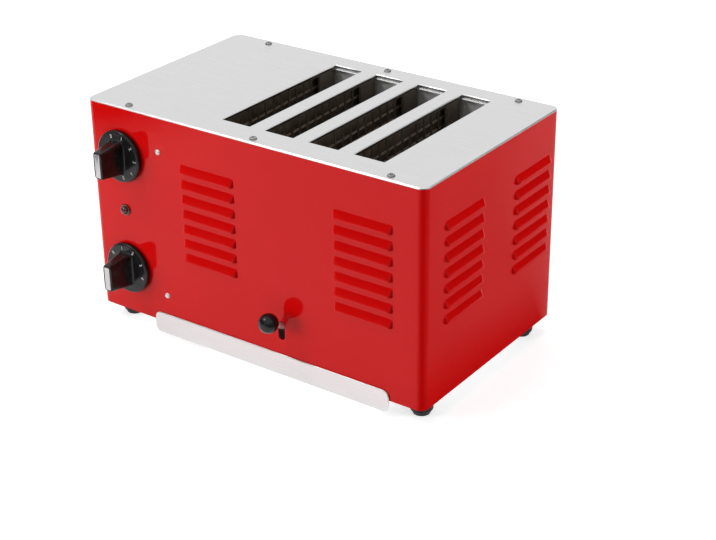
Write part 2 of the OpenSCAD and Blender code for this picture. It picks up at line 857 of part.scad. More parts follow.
// An upside-down channel on two legs, with crumb holes along its top
module bread_carrier(i) {
    w = carrier_w / 2;
    leg_z = beam_z + beam_h;
    hole_step = 2 * carrier_half_l / carrier_hole_n;
    color("silver") translate([slot_x(i), 0, 0]) {
        difference() {
            translate([0, carrier_half_l, carrier_z + carrier_edge]) rotate([90, 0, 0])
                linear_extrude(2 * carrier_half_l)
                polygon([[-w, -carrier_edge], [-w, carrier_t], [w, carrier_t], [w, -carrier_edge],
                    [w - carrier_t, -carrier_edge], [w - carrier_t, 0], [carrier_t - w, 0],
                    [carrier_t - w, -carrier_edge]]);
            for (h = [0 : carrier_hole_n - 1])
                translate([0, (h + 0.5) * hole_step - carrier_half_l, carrier_z + carrier_edge])
                    cube([w, carrier_hole_l, 4 * carrier_t], center = true);
        }
        for (s = [-1, 1])
            translate([-w + carrier_t, s * leg_y - carrier_leg_w / 2, leg_z])
                cube([carrier_w - 2 * carrier_t, carrier_leg_w, carrier_z + carrier_edge - leg_z]);
    }
}

// Crumb tray

module tray_runners() {
    low = -flange_drop - tray_t - runner_gap - runner_t;
    color("silver") for (s = [-1, 1])
        translate([chamber_x, wall_y, low]) mirror([s < 0 ? 1 : 0, 0, 0]) rotate([90, 0, 0])
            linear_extrude(2 * wall_y) translate([runner_x + runner_t, 0]) mirror([1, 0])
            angle_section(runner_ledge + runner_t, -low, runner_t);
}

module crumb_tray() {
    y0 = front_y - lip_gap - tray_t;
    l = tray_rear - y0;
    low = -tray_drop;
    wall_top = -flange_drop;
    half = tray_w / 2;
    flange_front = front_y + tray_front_gap;
    color("silver") {
        translate([chamber_x - half, y0, low]) cube([tray_w, l, tray_t]);
        for (s = [-1, 1]) {
            translate([chamber_x + s * (half - tray_t / 2) - tray_t / 2, flange_front, low])
                cube([tray_t, tray_rear - flange_front, wall_top - low]);
            flange_x = chamber_x + s * (half + tray_flange / 2) - tray_flange / 2;
            translate([flange_x, flange_front, wall_top - tray_t])
                cube([tray_flange, tray_rear - flange_front, tray_t]);
        }
        translate([chamber_x - half, tray_rear - tray_t, low]) cube([tray_w, tray_t, wall_top - low]);
        translate([lip_x, y0 + tray_t, (lip_up + low) / 2]) rotate([90, 0, 0]) linear_extrude(tray_t)
            rounded_plan(lip_l, lip_up - low, lip_r);
    }
}

// Controls

module hex_nut(af, t, bore) {
    difference() {
        cylinder(d = af / cos(30), h = t, $fn = 6);
        cylinder(d = bore, h = 3 * t, center = true);
    }
}

module control_nuts() {
    color("silver") for (z = [timer_z, selector_z])
        facing_front(knob_x, z) hex_nut(nut_af, nut_t, bush_d + 2 * screw_clear);
}

// The threaded bush that holds a control in the panel, and the bore of its shaft
module control_bush() {
    translate([0, 0, -sheet_t - bush_in]) cylinder(d = bush_d, h = sheet_t + bush_in + bush_out);
}

module shaft_bore() {
    translate([0, 0, -sheet_t - shaft_in - shaft_end_gap])
        cylinder(d = shaft_d + 2 * run_gap, h = sheet_t + shaft_in + shaft_end_gap + bush_out + cut);
}

module timer_body() {
    plate_side = timer_side + 2 * timer_plate_rim;
    color("lightgray") facing_front(knob_x, timer_z) difference() {
        union() {
            translate([-plate_side / 2, -timer_side / 2, -sheet_t - timer_plate_t])
                cube([plate_side, timer_side, timer_plate_t]);
            translate([-timer_side / 2, -timer_side / 2, -sheet_t - timer_depth])
                cube([timer_side, timer_side, timer_depth]);
            control_bush();
        }
        shaft_bore();
    }
}

module selector_body() {
    blade_r = selector_d / 2 - blade_in;
    color("dimgray") facing_front(knob_x, selector_z) difference() {
        union() {
            translate([0, 0, -sheet_t - selector_depth]) cylinder(d = selector_d, h = selector_depth);
            for (i = [0 : blade_n - 1])
                rotate([0, 0, i * 360 / blade_n]) translate([blade_r, 0, -sheet_t - selector_depth])
                    cube([blade_t, blade_w, 2 * blade_l], center = true);
            control_bush();
        }
        shaft_bore();
    }
}

module control_shaft(z) {
    color("silver") facing_front(knob_x, z) translate([0, 0, -sheet_t - shaft_in])
        cylinder(d = shaft_d, h = sheet_t + shaft_in + shaft_out);
}

// Bar grip: a side trapezoid met by a front trapezoid
module grip(z0, z1) {
    intersection() {
        rotate([90, 0, 90]) translate([0, 0, -skirt_d / 2]) linear_extrude(skirt_d)
            taper_section(grip_base_l, grip_front_l, z0, z1);
        rotate([90, 0, 0]) translate([0, 0, -skirt_d / 2]) linear_extrude(skirt_d)
            taper_section(grip_base_w, grip_front_w, z0, z1);
    }
}

module control_knob(z) {
    grip_top = knob_reach - insert_proud;
    r = skirt_d / 2;
    nut_r = nut_af / cos(30) / 2 + nut_recess_gap;
    color("black") facing_front(knob_x, z) difference() {
        union() {
            translate([0, 0, knob_gap]) rotate_extrude()
                polygon([[0, 0], [r, 0], [r, skirt_h - skirt_bevel], [r - skirt_bevel, skirt_h],
                    [0, skirt_h]]);
            grip(knob_gap + skirt_h / 2, grip_top);
        }
        cylinder(r = nut_r, h = bush_out + knob_gap);
        cylinder(d = shaft_d + 2 * run_gap, h = shaft_out + screw_clear);
        translate([0, 0, grip_top - insert_t + insert_proud])
            linear_extrude(insert_t)
            square([insert_w + 2 * run_gap, insert_len + 2 * run_gap], center = true);
    }
}

module knob_insert(z) {
    color("gainsboro") facing_front(knob_x, z) translate([0, 0, knob_reach - insert_t])
        linear_extrude(insert_t) square([insert_w, insert_len], center = true);
}

module lamp_lens() {
    r = lamp_d / 2;
    color("darkred") facing_front(knob_x, lamp_z) {
        translate([0, 0, -sheet_t - lamp_neck]) cylinder(r = r, h = sheet_t + lamp_neck + lamp_collar_h);
        cylinder(d = lamp_collar_d, h = lamp_collar_h);
        translate([0, 0, lamp_collar_h]) intersection() {
            sphere(r);
            translate([-r, -r, 0]) cube(2 * r);
        }
    }
}

module lamp_holder() {
    bore_z = lamp_holder_l - lamp_neck - screw_clear;
    color("dimgray") facing_front(knob_x, lamp_z) translate([0, 0, -sheet_t - lamp_holder_l]) difference() {
        cylinder(d = lamp_collar_d + 2 * lamp_holder_rim, h = lamp_holder_l);
        translate([0, 0, bore_z]) cylinder(d = lamp_d + 2 * screw_clear, h = lamp_holder_l);
    }
}

// Supply inlet at the back

module gland_place() {
    translate([gland_x, rear_face_y, gland_z]) rotate([-90, 0, 0]) children();
}

module cable_gland() {
    out = gland_reach + sheet_t;
    neck_r = gland_d / 2 - gland_neck_rim;
    color("dimgray") gland_place() difference() {
        union() {
            cylinder(d = (gland_d + 2 * gland_collar_rim) / cos(30), h = gland_collar_h, $fn = 6);
            translate([0, 0, -sheet_t - gland_thread_l])
                cylinder(d = gland_d, h = sheet_t + gland_thread_l);
            rotate_extrude()
                polygon([[0, 0], [neck_r, 0], [neck_r, out - gland_bevel], [neck_r - gland_bevel, out],
                    [0, out]]);
        }
        cylinder(d = gland_bore, h = through, center = true);
    }
}

module gland_nut() {
    color("dimgray") gland_place() translate([0, 0, -sheet_t - gland_nut_t])
        hex_nut(gland_d + 2 * gland_nut_rim, gland_nut_t, gland_d + 2 * screw_clear);
}

module terminal_block() {
    color("ivory") translate([knob_x, rear_inner_y / 2, sheet_t]) difference() {
        translate([-block_l / 2, -block_w / 2, 0]) cube([block_l, block_w, block_h]);
        for (i = [0 : pole_n - 1]) translate([(i - (pole_n - 1) / 2) * pole_step, 0, 0]) {
            for (s = [-1, 1])
                translate([0, s * pole_screw_y, block_h / 2]) cylinder(d = pole_screw_d, h = block_h);
            translate([0, 0, pole_wire_z]) rotate([90, 0, 0])
                cylinder(d = pole_wire_d, h = through, center = true);
        }
    }
}

placed() casing();
placed() rear_panel();
placed() top_plate();
placed() base_pan();
placed() top_rail(-1);  // top_rail_front
placed() top_rail(1);  // top_rail_rear
placed() control_shield();
in_chamber() chamber_end(-wall_y - sheet_t, rail_z);  // chamber_front
in_chamber() chamber_end(wall_y, sheet_t);  // chamber_rear
in_chamber() chamber_side(chamber_x - chamber_half - sheet_t);  // chamber_left
in_chamber() chamber_side(chamber_x + chamber_half);  // chamber_right
in_chamber() element_rail(-1);  // element_rail_front
in_chamber() element_rail(1);  // element_rail_rear
in_chamber() element_cage(0);  // element_cage_1
in_chamber() element_cage(1);  // element_cage_2
in_chamber() element_cage(2);  // element_cage_3
in_chamber() element_cage(3);  // element_cage_4
in_chamber() element_cage(4);  // element_cage_5
in_chamber() mica_cards();
in_chamber() element_ribbons();
in_chamber() guide_rods();
placed() lever_bracket();
placed() lever_pin();
placed() timer_body();
placed() selector_body();
placed() control_nuts();
placed() lamp_lens();
placed() lamp_holder();
placed() tray_runners();
placed() rubber_foot(-1, -1);  // foot_front_left
placed() rubber_foot(1, -1);  // foot_front_right
placed() rubber_foot(-1, 1);  // foot_rear_left
placed() rubber_foot(1, 1);  // foot_rear_right
placed() foot_screws();
placed() top_plate_screws();
placed() front_rivets();
placed() rear_screws();
placed() cable_gland();
placed() gland_nut();
placed() terminal_block();
placed() control_knob(timer_z);  // timer_knob
placed() knob_insert(timer_z);  // timer_insert
placed() control_shaft(timer_z);  // timer_shaft
placed() control_knob(selector_z);  // selector_knob
placed() knob_insert(selector_z);  // selector_insert
placed() control_shaft(selector_z);  // selector_shaft
placed() lift_lever();
placed() lever_ball();
in_chamber() rack_frame();
in_chamber() bread_carrier(0);  // bread_carrier_1
in_chamber() bread_carrier(1);  // bread_carrier_2
in_chamber() bread_carrier(2);  // bread_carrier_3
in_chamber() bread_carrier(3);  // bread_carrier_4
placed() crumb_tray();
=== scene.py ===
"""Looks of a four-slot catering toaster: red enamel casing, brushed top plate, black knobs, steel tray."""
import json
import math

import bmesh
import bpy
import numpy as np
from mathutils import Matrix, Vector


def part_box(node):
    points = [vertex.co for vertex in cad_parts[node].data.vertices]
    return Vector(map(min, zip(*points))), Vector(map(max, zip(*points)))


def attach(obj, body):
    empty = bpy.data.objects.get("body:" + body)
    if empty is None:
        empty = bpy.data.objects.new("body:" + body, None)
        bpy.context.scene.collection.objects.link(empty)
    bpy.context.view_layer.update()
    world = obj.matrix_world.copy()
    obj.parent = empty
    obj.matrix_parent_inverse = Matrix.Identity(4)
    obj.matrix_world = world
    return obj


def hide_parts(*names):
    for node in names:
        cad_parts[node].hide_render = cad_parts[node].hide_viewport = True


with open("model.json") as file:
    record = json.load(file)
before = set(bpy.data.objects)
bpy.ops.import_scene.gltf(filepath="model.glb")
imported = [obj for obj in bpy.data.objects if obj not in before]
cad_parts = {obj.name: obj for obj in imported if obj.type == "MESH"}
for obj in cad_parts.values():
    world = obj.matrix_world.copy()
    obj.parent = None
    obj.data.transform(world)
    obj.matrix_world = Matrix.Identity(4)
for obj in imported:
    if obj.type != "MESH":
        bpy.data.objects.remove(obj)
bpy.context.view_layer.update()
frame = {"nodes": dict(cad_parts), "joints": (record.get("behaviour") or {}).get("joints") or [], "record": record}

MM = 0.001
QUARTER = math.pi / 2

# Points and grid lines closer than the first two are one, and a length under the third is nothing
MERGE, SAME_LINE, TINY = 1e-6, 1e-7, 1e-9

# The casing and the top plate, from the solids
plate_low, plate_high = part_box("top_plate")
HALF_W = plate_high.x
HALF_D = (plate_high.y - plate_low.y) / 2
MID_Y = (plate_high.y + plate_low.y) / 2
PLATE_Z, PLATE_T = plate_low.z, plate_high.z - plate_low.z
CASE_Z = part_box("base_pan")[0].z
CASE_H = PLATE_Z - CASE_Z
FRONT_Y, REAR_Y = MID_Y - HALF_D, MID_Y + HALF_D
SHEET = 1 * MM
CORNER_R = 8 * MM
RETURN_W = 24 * MM
EDGE_BEVEL = 0.7 * MM

# Bread slots
SLOT_X = [sum(c.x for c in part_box(f"bread_carrier_{k}")) / 2 for k in range(1, 5)]
CHAMBER_X = sum(SLOT_X) / len(SLOT_X)
SLOT_Y = sum(c.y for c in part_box("bread_carrier_1")) / 2
SLOT_W, SLOT_L = 31 * MM, 170 * MM

# Louvres: a group is a column of hoods, each open below its lip
LOUVRE_L, LOUVRE_H, LOUVRE_D = 60 * MM, 8 * MM, 3.5 * MM
LOUVRE_LIP, LOUVRE_END, LOUVRE_BOW = 1 * MM, 3 * MM, 0.35
LOUVRE_N, LOUVRE_PITCH, LOUVRE_Z = 7, 14.6 * MM, 72.5 * MM
LIPS = LOUVRE_Z + LOUVRE_PITCH * np.arange(LOUVRE_N)
SLIT = 0.05 * MM
FRONT_GROUP_X, SIDE_GROUP_Y, SIDE_SHIFT = 84 * MM, 56.5 * MM, 7.5 * MM

# Controls
JOINTS = {j["name"]: j for j in frame["joints"]}
SKIRT_R, SKIRT_H, KNOB_GAP, KNOB_REACH = 25 * MM, 4.5 * MM, 1 * MM, 32 * MM
GRIP_BASE, GRIP_TIP = (7.5 * MM, 16.5 * MM), (5 * MM, 13 * MM)
STRIP_HALF, STRIP_T, STRIP_PROUD = (3 * MM, 11.5 * MM), 1.2 * MM, 0.4 * MM
NUMBER_R, NUMBER_H = 20 * MM, 3.4 * MM
LEVER_UP = math.radians(29)
LEVER_SLOT_Z, LEVER_SLOT_R = (23.98 * MM, 42.66 * MM), 3.6 * MM
BALL_R = 9.2 * MM

# Screws and rivets
HEAD_R, HEAD_H, SHANK_R, SHANK_L = 3.5 * MM, 2 * MM, 2 * MM, 8 * MM


# Grids and meshes

def quads(rows, cols, close_rows=False, close_cols=False):
    """Corner numbers of a grid's cells; a closed direction joins its last line to its first."""
    i, j = np.meshgrid(np.arange(rows - (not close_rows)), np.arange(cols - (not close_cols)), indexing="ij")
    k, m = (i + 1) % rows, (j + 1) % cols
    return np.stack([i * cols + j, k * cols + j, k * cols + m, i * cols + m], -1).reshape(-1, 4)


def slab(outer, inner, faces):
    """A sheet with thickness: the outer faces, the inner ones turned over, and a wall on each open edge."""
    n = len(outer)
    edges = np.stack([faces, np.roll(faces, -1, axis=1)], -1).reshape(-1, 2)
    ordered = np.sort(edges, axis=1)
    _, first, count = np.unique(ordered[:, 0] * n + ordered[:, 1], return_index=True, return_counts=True)
    rim = edges[first[count == 1]]
    walls = np.stack([rim[:, 1], rim[:, 0], rim[:, 0] + n, rim[:, 1] + n], -1)
    return np.concatenate([outer, inner]), np.concatenate([faces, faces[:, ::-1] + n, walls])


def ring_grid(points):
    """A closed surface from rings of points, rows by columns by three; its first and last rings close it."""
    rows, cols = points.shape[:2]
    return points.reshape(-1, 3), quads(rows, cols, close_cols=True)


def joined(parts):
    """Vertices and faces of several patches as one, without the vertices that no face uses."""
    starts = np.cumsum([0] + [len(v) for v, _ in parts[:-1]])
    verts = np.concatenate([v for v, _ in parts])
    used, faces = np.unique(np.concatenate([f + s for (_, f), s in zip(parts, starts)]), return_inverse=True)
    return verts[used], faces.reshape(-1, 4)


def piece(name, parts, body, material, stands_for=(), sharp=38):
    """One object from patches: doubles merged, normals turned outwards, riding on its body.

    An edge that turns by more than sharp degrees is drawn sharp."""
    verts, faces = joined(parts)
    mesh = bpy.data.meshes.new(name)
    mesh.from_pydata(verts.tolist(), [], faces.tolist())
    work = bmesh.new()
    work.from_mesh(mesh)
    bmesh.ops.remove_doubles(work, verts=work.verts, dist=MERGE)
    bmesh.ops.recalc_face_normals(work, faces=work.faces)
    work.to_mesh(mesh)
    work.free()
    mesh.shade_smooth()
    mesh.set_sharp_from_angle(angle=math.radians(sharp))
    mesh.materials.append(material)
    obj = bpy.data.objects.new(name, mesh)
    bpy.context.scene.collection.objects.link(obj)
    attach(obj, body)
    if stands_for:
        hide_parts(*stands_for)


def lines(*spans):
    """Sorted grid lines from arrays of places, with near doubles left out."""
    places = np.sort(np.concatenate([np.atleast_1d(np.asarray(s, float)) for s in spans]))
    return places[np.concatenate([[True], np.diff(places) > SAME_LINE])]


def arc(start, stop, count):
    """Quarter round between two (across, along) pairs; it leaves the first along its second coordinate."""
    a = np.linspace(0, QUARTER, count)
    across = stop[0] + (start[0] - stop[0]) * np.cos(a)
    along = start[1] + (stop[1] - start[1]) * np.sin(a)
    return np.stack([across, along], -1)


def revolve(profile, origin, axis, across, count=96):
    """A surface of revolution: each (radius, height) of the profile is a ring round the axis at origin."""
    axis, across = np.asarray(axis, float), np.asarray(across, float)
    a = np.linspace(0, 2 * math.pi, count, endpoint=False)[:, None]
    spoke = np.cos(a) * across + np.sin(a) * np.cross(axis, across)
    radius, height = np.asarray(profile, float).T[..., None, None]
    return ring_grid(np.asarray(origin) + radius * spoke + height * axis)


def bent_path(knots, radius, s):
    """A bent sheet's line: the bend's centre moves along the straights, and the outward direction turns.

    A knot is (run, centre x, centre y, direction in degrees); a point is the centre plus radius times
    direction."""
    knots = np.asarray(knots, float)
    turn = np.radians(np.interp(s, knots[:, 0], knots[:, 3]))
    out = np.stack([np.cos(turn), np.sin(turn)], -1)
    centre = np.stack([np.interp(s, knots[:, 0], knots[:, k]) for k in (1, 2)], -1)
    return centre + radius * out, out


# Louvred sheets

def hood(u, w):
    """How far a hood stands out at u from its middle and w above its lip.

    It is full along the lip and falls on a slightly bowed slope to nothing at the top, and each end is a
    quarter round."""
    t = np.clip((w - LOUVRE_LIP) / (LOUVRE_H - LOUVRE_LIP), 0, 1)
    end = np.clip((LOUVRE_L / 2 - np.abs(u)) / LOUVRE_END, 0, 1)
    rise = (1 - t) * (1 + LOUVRE_BOW * t) * np.sqrt(1 - (1 - end) ** 2)
    return np.where((w >= -TINY) & (w <= LOUVRE_H), LOUVRE_D * rise, 0)


def louvre_lines_along(middle):
    """Grid lines along a hood, close together over its rounded ends."""
    end = LOUVRE_END * np.array([-0.2, 0, 0.03, 0.1, 0.2, 0.35, 0.55, 0.8, 1])
    return np.concatenate([middle - LOUVRE_L / 2 + end, middle + LOUVRE_L / 2 - end, [middle]])


def louvre_lines_up():
    """Grid lines up a column of hoods: below and at each lip, up the slope and past its top."""
    in_lip, near_top, past_top = 0.3 * MM, LOUVRE_H - 0.5 * MM, LOUVRE_H + 0.6 * MM
    w = np.concatenate([[-SLIT, 0, in_lip], np.linspace(LOUVRE_LIP, near_top, 8), [LOUVRE_H, past_top]])
    return (LIPS[:, None] + w).ravel()


def louvred_sheet(path, s, z, middles, hole=None):
    """A sheet along path(s) and up z, pushed out by its hoods; the thin cells under the lips are left open.

    hole is a tall slot (middle s, low z, high z, half width): its cells are left out and its edge is drawn
    in round."""
    across, up = np.meshgrid(s, z, indexing="ij")
    if hole:
        middle, low, high, r = hole
        axis_z = np.clip(up, low + r, high - r)
        reach = np.hypot(across - middle, up - axis_z)
        inside = reach < r
        pull = np.where(inside, r / np.maximum(reach, TINY), 1)
        across = middle + (across - middle) * pull
        up = axis_z + (up - axis_z) * pull
    stand = sum(hood(across - m, up - lip) for m in middles for lip in LIPS)
    flat, out = path(across)
    base = np.concatenate([flat, (CASE_Z + up)[..., None]], -1)
    out = np.concatenate([out, np.zeros_like(up)[..., None]], -1)
    outer = base + stand[..., None] * out
    faces = quads(*up.shape)
    thin, lip_step = 1.5 * SLIT, 0.4 * MM
    keep = ~((np.ptp(up.ravel()[faces], 1) < thin) & (np.ptp(stand.ravel()[faces], 1) > lip_step))
    if hole:
        keep &= ~inside.ravel()[faces].all(1)
    return slab(outer.reshape(-1, 3), (outer - SHEET * out).reshape(-1, 3), faces[keep])


def casing_knots():
    """The wrapped casing seen from above: left return, side, front, side and right return; four bends."""
    w, d = HALF_W - CORNER_R, HALF_D - CORNER_R
    bend, end = QUARTER * CORNER_R, RETURN_W - CORNER_R
    runs = np.cumsum([0, end, bend, 2 * d, bend, 2 * w, bend, 2 * d, bend, end])
    x = np.array([RETURN_W - HALF_W, -w, -w, -w, -w, w, w, w, w, HALF_W - RETURN_W])
    y = MID_Y + np.array([d, d, d, -d, -d, -d, -d, d, d, d])
    turn = np.array([90, 90, 180, 180, 270, 270, 360, 360, 450, 450])
    return np.stack([runs, x, y, turn], -1)


def red_casing(finish):
    """The wrapped sheet with its front and side louvres and the lever's slot."""
    knots = casing_knots()
    run = knots[:, 0]
    front = run[4] + HALF_W - CORNER_R
    left, right = run[2] + HALF_D - CORNER_R, run[6] + HALF_D - CORNER_R
    groups = ((front + CHAMBER_X, FRONT_GROUP_X), (left - SIDE_SHIFT, SIDE_GROUP_Y),
              (right + SIDE_SHIFT, SIDE_GROUP_Y))
    middles = [middle + side * apart for middle, apart in groups for side in (-1, 1)]
    slot_s, r = front + JOINTS["lever_rock"]["pos_m"][0], LEVER_SLOT_R
    low, high = LEVER_SLOT_Z
    rim = 0.4 * MM
    s = lines(run, *[louvre_lines_along(m) for m in middles],
              *[np.linspace(run[k], run[k + 1], 15) for k in (1, 3, 5, 7)],
              slot_s + np.linspace(-r - MM, r + MM, 26), np.linspace(run[4], run[5], 20))
    z = lines([0, rim, CASE_H - rim, CASE_H], louvre_lines_up(), np.linspace(low - MM, high + MM, 38))
    sheet = louvred_sheet(lambda p: bent_path(knots, CORNER_R, p), s, z, middles, (slot_s, low, high, r))
    piece("red_casing", [sheet], "body", finish, ["casing"])


def rear_cover(finish):
    """The flat rear panel inside the casing's returns, with its own louvres."""
    low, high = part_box("rear_panel")
    face_y = REAR_Y - SHEET
    gap = low.z - CASE_Z
    middles = [-CHAMBER_X + side * FRONT_GROUP_X for side in (-1, 1)]
    s = lines([-high.x, high.x], *[louvre_lines_along(m) for m in middles], np.linspace(-high.x, high.x, 20))
    z = lines([gap, CASE_H - gap], louvre_lines_up())

    def path(p):
        """A straight run from right to left, facing back."""
        return np.stack([-p, np.full_like(p, face_y)], -1), np.stack([np.zeros_like(p), np.ones_like(p)], -1)

    piece("rear_cover", [louvred_sheet(path, s, z, middles)], "body", finish, ["rear_panel"])


# Flat plates with rounded corners

def rolled(distance, radius):
    """Drop of a rolled edge at a distance in from it: a quarter round of the radius."""
    t = np.clip(distance / radius, 0, 1)
    return radius * (1 - np.sqrt(1 - (1 - t) ** 2))


def bevelled(distance, size):
    """Drop of a bevelled edge at a distance in from it: a straight slope of 45 degrees."""
    return np.clip(size - distance, 0, size)


def round_corners(a, b, half_a, half_b, radius):
    """Draws the corner squares of a rectangle's grid into quarter discs; the larger share is the radius."""
    u = (np.abs(a) - half_a + radius) / radius
    v = (np.abs(b) - half_b + radius) / radius
    corner = (u > 0) & (v > 0)
    reach = np.maximum(u, v)
    share = np.minimum(u, v) / np.maximum(reach, TINY)
    angle = np.where(u >= v, share, 2 - share) * math.pi / 4
    new_a = np.sign(a) * (half_a - radius + radius * reach * np.cos(angle))
    new_b = np.sign(b) * (half_b - radius + radius * reach * np.sin(angle))
    return np.where(corner, new_a, a), np.where(corner, new_b, b)


def edge_lines(half, radius, edge):
    """Grid lines over a rectangle's half width: close at its worked edge, then over the round corner."""
    near = half - edge * np.array([0, 0.05, 0.15, 0.35, 0.65, 1])
    corner = half - radius * np.linspace(0.15, 1, 7)
    return np.concatenate([near, corner, -near, -corner])


def steel_top(finish):
    """The top plate: a flat sheet with round corners and four slots, every edge bevelled."""
    rim = EDGE_BEVEL * np.array([0, 0.5, 1, 2])
    x = lines(edge_lines(HALF_W, CORNER_R, EDGE_BEVEL), np.linspace(-HALF_W, HALF_W, 25)[1:-1],
              *[np.concatenate([c - SLOT_W / 2 - rim, c + SLOT_W / 2 + rim]) for c in SLOT_X])
    slot_y = SLOT_Y - MID_Y
    y = lines(edge_lines(HALF_D, CORNER_R, EDGE_BEVEL), slot_y + np.linspace(-0.4, 0.4, 9) * SLOT_L,
              slot_y - SLOT_L / 2 - rim, slot_y + SLOT_L / 2 + rim)
    a, b = np.meshgrid(x, y, indexing="ij")
    drop = bevelled(np.minimum(HALF_W - np.abs(a), HALF_D - np.abs(b)), EDGE_BEVEL)
    inside = np.zeros(a.shape, bool)
    for c in SLOT_X:
        over_x, over_y = np.abs(a - c) - SLOT_W / 2, np.abs(b - slot_y) - SLOT_L / 2
        beside = np.hypot(np.maximum(over_x, 0), np.maximum(over_y, 0))
        drop = np.maximum(drop, bevelled(beside, EDGE_BEVEL))
        inside |= (over_x < TINY) & (over_y < TINY)
    a, b = round_corners(a, b, HALF_W, HALF_D, CORNER_R)
    top = np.stack([a, b + MID_Y, PLATE_Z + PLATE_T - drop], -1).reshape(-1, 3)
    under = np.stack([a, b + MID_Y, np.full_like(a, PLATE_Z)], -1).reshape(-1, 3)
    faces = quads(*a.shape)
    faces = faces[~inside.ravel()[faces].all(1)]
    piece("steel_top", [slab(top, under, faces)], "body", finish, ["top_plate"])


# Knobs, lever ball and lamp

def control(joint):
    """Where a control's axis meets the front panel."""
    x, _, z = JOINTS[joint]["pos_m"]
    return np.array([x, FRONT_Y, z])


def rings(rows, origin, count=128):
    """Rings of a knob, facing front: each row is half width, half height, squareness and stand-out.

    A ring is a superellipse: the cosine and sine are raised to two over the squareness, so 2 is round."""
    a = np.linspace(0, 2 * math.pi, count, endpoint=False)
    w, h, n, out = (np.asarray(rows, float)[:, k, None] for k in range(4))
    x = w * np.sign(np.cos(a)) * np.abs(np.cos(a)) ** (2 / n)
    z = h * np.sign(np.sin(a)) * np.abs(np.sin(a)) ** (2 / n)
    return ring_grid(np.asarray(origin) + np.stack([x, -out + np.zeros_like(x), z], -1))


def dial_rows():
    """Rows of a knob: nut recess, back, bevelled skirt, skirt face, grip foot, grip sides, strip recess."""
    recess_r, recess_h, top = 9.6 * MM, 4.5 * MM, KNOB_GAP + SKIRT_H
    edge, bevel, face_rim = 0.5 * MM, 2 * MM, 3 * MM
    foot_r, tip_r, tip = 1.8 * MM, 0.8 * MM, KNOB_REACH - STRIP_PROUD
    foot_square, side_square, tip_square, recess_square = 3.2, 5.5, 6.5, 12
    radius, out = np.concatenate([
        [[0, recess_h], [recess_r, recess_h], [recess_r, KNOB_GAP]],
        arc((SKIRT_R, KNOB_GAP + edge), (SKIRT_R - edge, KNOB_GAP), 6)[::-1],
        arc((SKIRT_R, top - bevel), (SKIRT_R - bevel, top), 10),
        [[SKIRT_R - face_rim, top]]]).T
    rows = [np.column_stack([radius, radius, np.full_like(radius, 2), out])]
    foot = np.linspace(0, QUARTER, 7)
    flare = foot_r * (1 - np.sin(foot))
    rows.append(np.column_stack([GRIP_BASE[0] + flare, GRIP_BASE[1] + flare,
                                 foot_square + (side_square - foot_square) * np.sin(foot),
                                 top + foot_r * (1 - np.cos(foot))]))
    side = np.linspace(0.12, 1, 8)
    rows.append(np.column_stack([GRIP_BASE[0] + (GRIP_TIP[0] - GRIP_BASE[0]) * side,
                                 GRIP_BASE[1] + (GRIP_TIP[1] - GRIP_BASE[1]) * side,
                                 side_square + (tip_square - side_square) * side,
                                 top + (tip - tip_r - top) * side]))
    over = np.linspace(0, QUARTER, 7)[1:]
    inset = tip_r * (1 - np.cos(over))
    rows.append(np.column_stack([GRIP_TIP[0] - inset, GRIP_TIP[1] - inset, np.full_like(over, tip_square),
                                 tip - tip_r + tip_r * np.sin(over)]))
    gap, floor = 0.12 * MM, KNOB_REACH - STRIP_T
    mouth = STRIP_HALF[0] + gap, STRIP_HALF[1] + gap, recess_square
    rows.append([[*mouth, tip], [*mouth, floor], [0, 0, recess_square, floor]])
    return np.concatenate(rows)


def dial(name, joint, body, solid, finish):
    """A knob as one closed surface: round at the skirt, drawn in to a tapering bar grip."""
    piece(name, [rings(dial_rows(), control(joint))], body, finish, [solid], sharp=32)


def grip_strip(name, joint, body, solid, finish):
    """The bright bar let into the front of a grip, its front edges rounded."""
    edge, square, back = 0.35 * MM, 14, KNOB_REACH - STRIP_T
    over = np.linspace(0, QUARTER, 6)
    inset = edge * (1 - np.cos(over))
    front = np.column_stack([STRIP_HALF[0] - inset, STRIP_HALF[1] - inset, np.full_like(over, square),
                             KNOB_REACH - edge + edge * np.sin(over)])
    rows = np.concatenate([[[0, 0, square, back], [*STRIP_HALF, square, back]], front,
                           [[0, 0, square, KNOB_REACH]]])
    piece(name, [rings(rows, control(joint), 64)], body, finish, [solid])


def flat_text(word, height):
    """A word as a thin mesh, centred on the origin and drawn in x and y."""
    figure_share, half_thick = 0.7, 0.03 * MM
    curve = bpy.data.curves.new(word, "FONT")
    curve.body = word
    curve.size = height / figure_share
    curve.align_x, curve.align_y = "CENTER", "CENTER"
    curve.extrude = half_thick
    curve.resolution_u = 3
    holder = bpy.data.objects.new(word, curve)
    mesh = bpy.data.meshes.new_from_object(holder)
    bpy.data.objects.remove(holder)
    bpy.data.curves.remove(curve)
    return mesh


def dial_print(name, joint, body, words, first, step, finish):
    """White numbers round a skirt, clockwise from the top, each turned with its place; angles in degrees."""
    work = bmesh.new()
    face = KNOB_GAP + SKIRT_H + 0.02 * MM
    to_front = Matrix(((1, 0, 0), (0, 0, -1), (0, 1, 0)))
    to_knob = Matrix.Translation(Vector(control(joint)))
    to_ring = Matrix.Translation(Vector((0, NUMBER_R, face)))
    for k, word in enumerate(words):
        turn = Matrix.Rotation(-math.radians(first + k * step), 3, "Z")
        mesh = flat_text(word, NUMBER_H)
        mesh.transform(to_knob @ (to_front @ turn).to_4x4() @ to_ring)
        work.from_mesh(mesh)
        bpy.data.meshes.remove(mesh)
    bmesh.ops.recalc_face_normals(work, faces=work.faces)
    mesh = bpy.data.meshes.new(name)
    work.to_mesh(mesh)
    work.free()
    mesh.materials.append(finish)
    obj = bpy.data.objects.new(name, mesh)
    bpy.context.scene.collection.objects.link(obj)
    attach(obj, body)


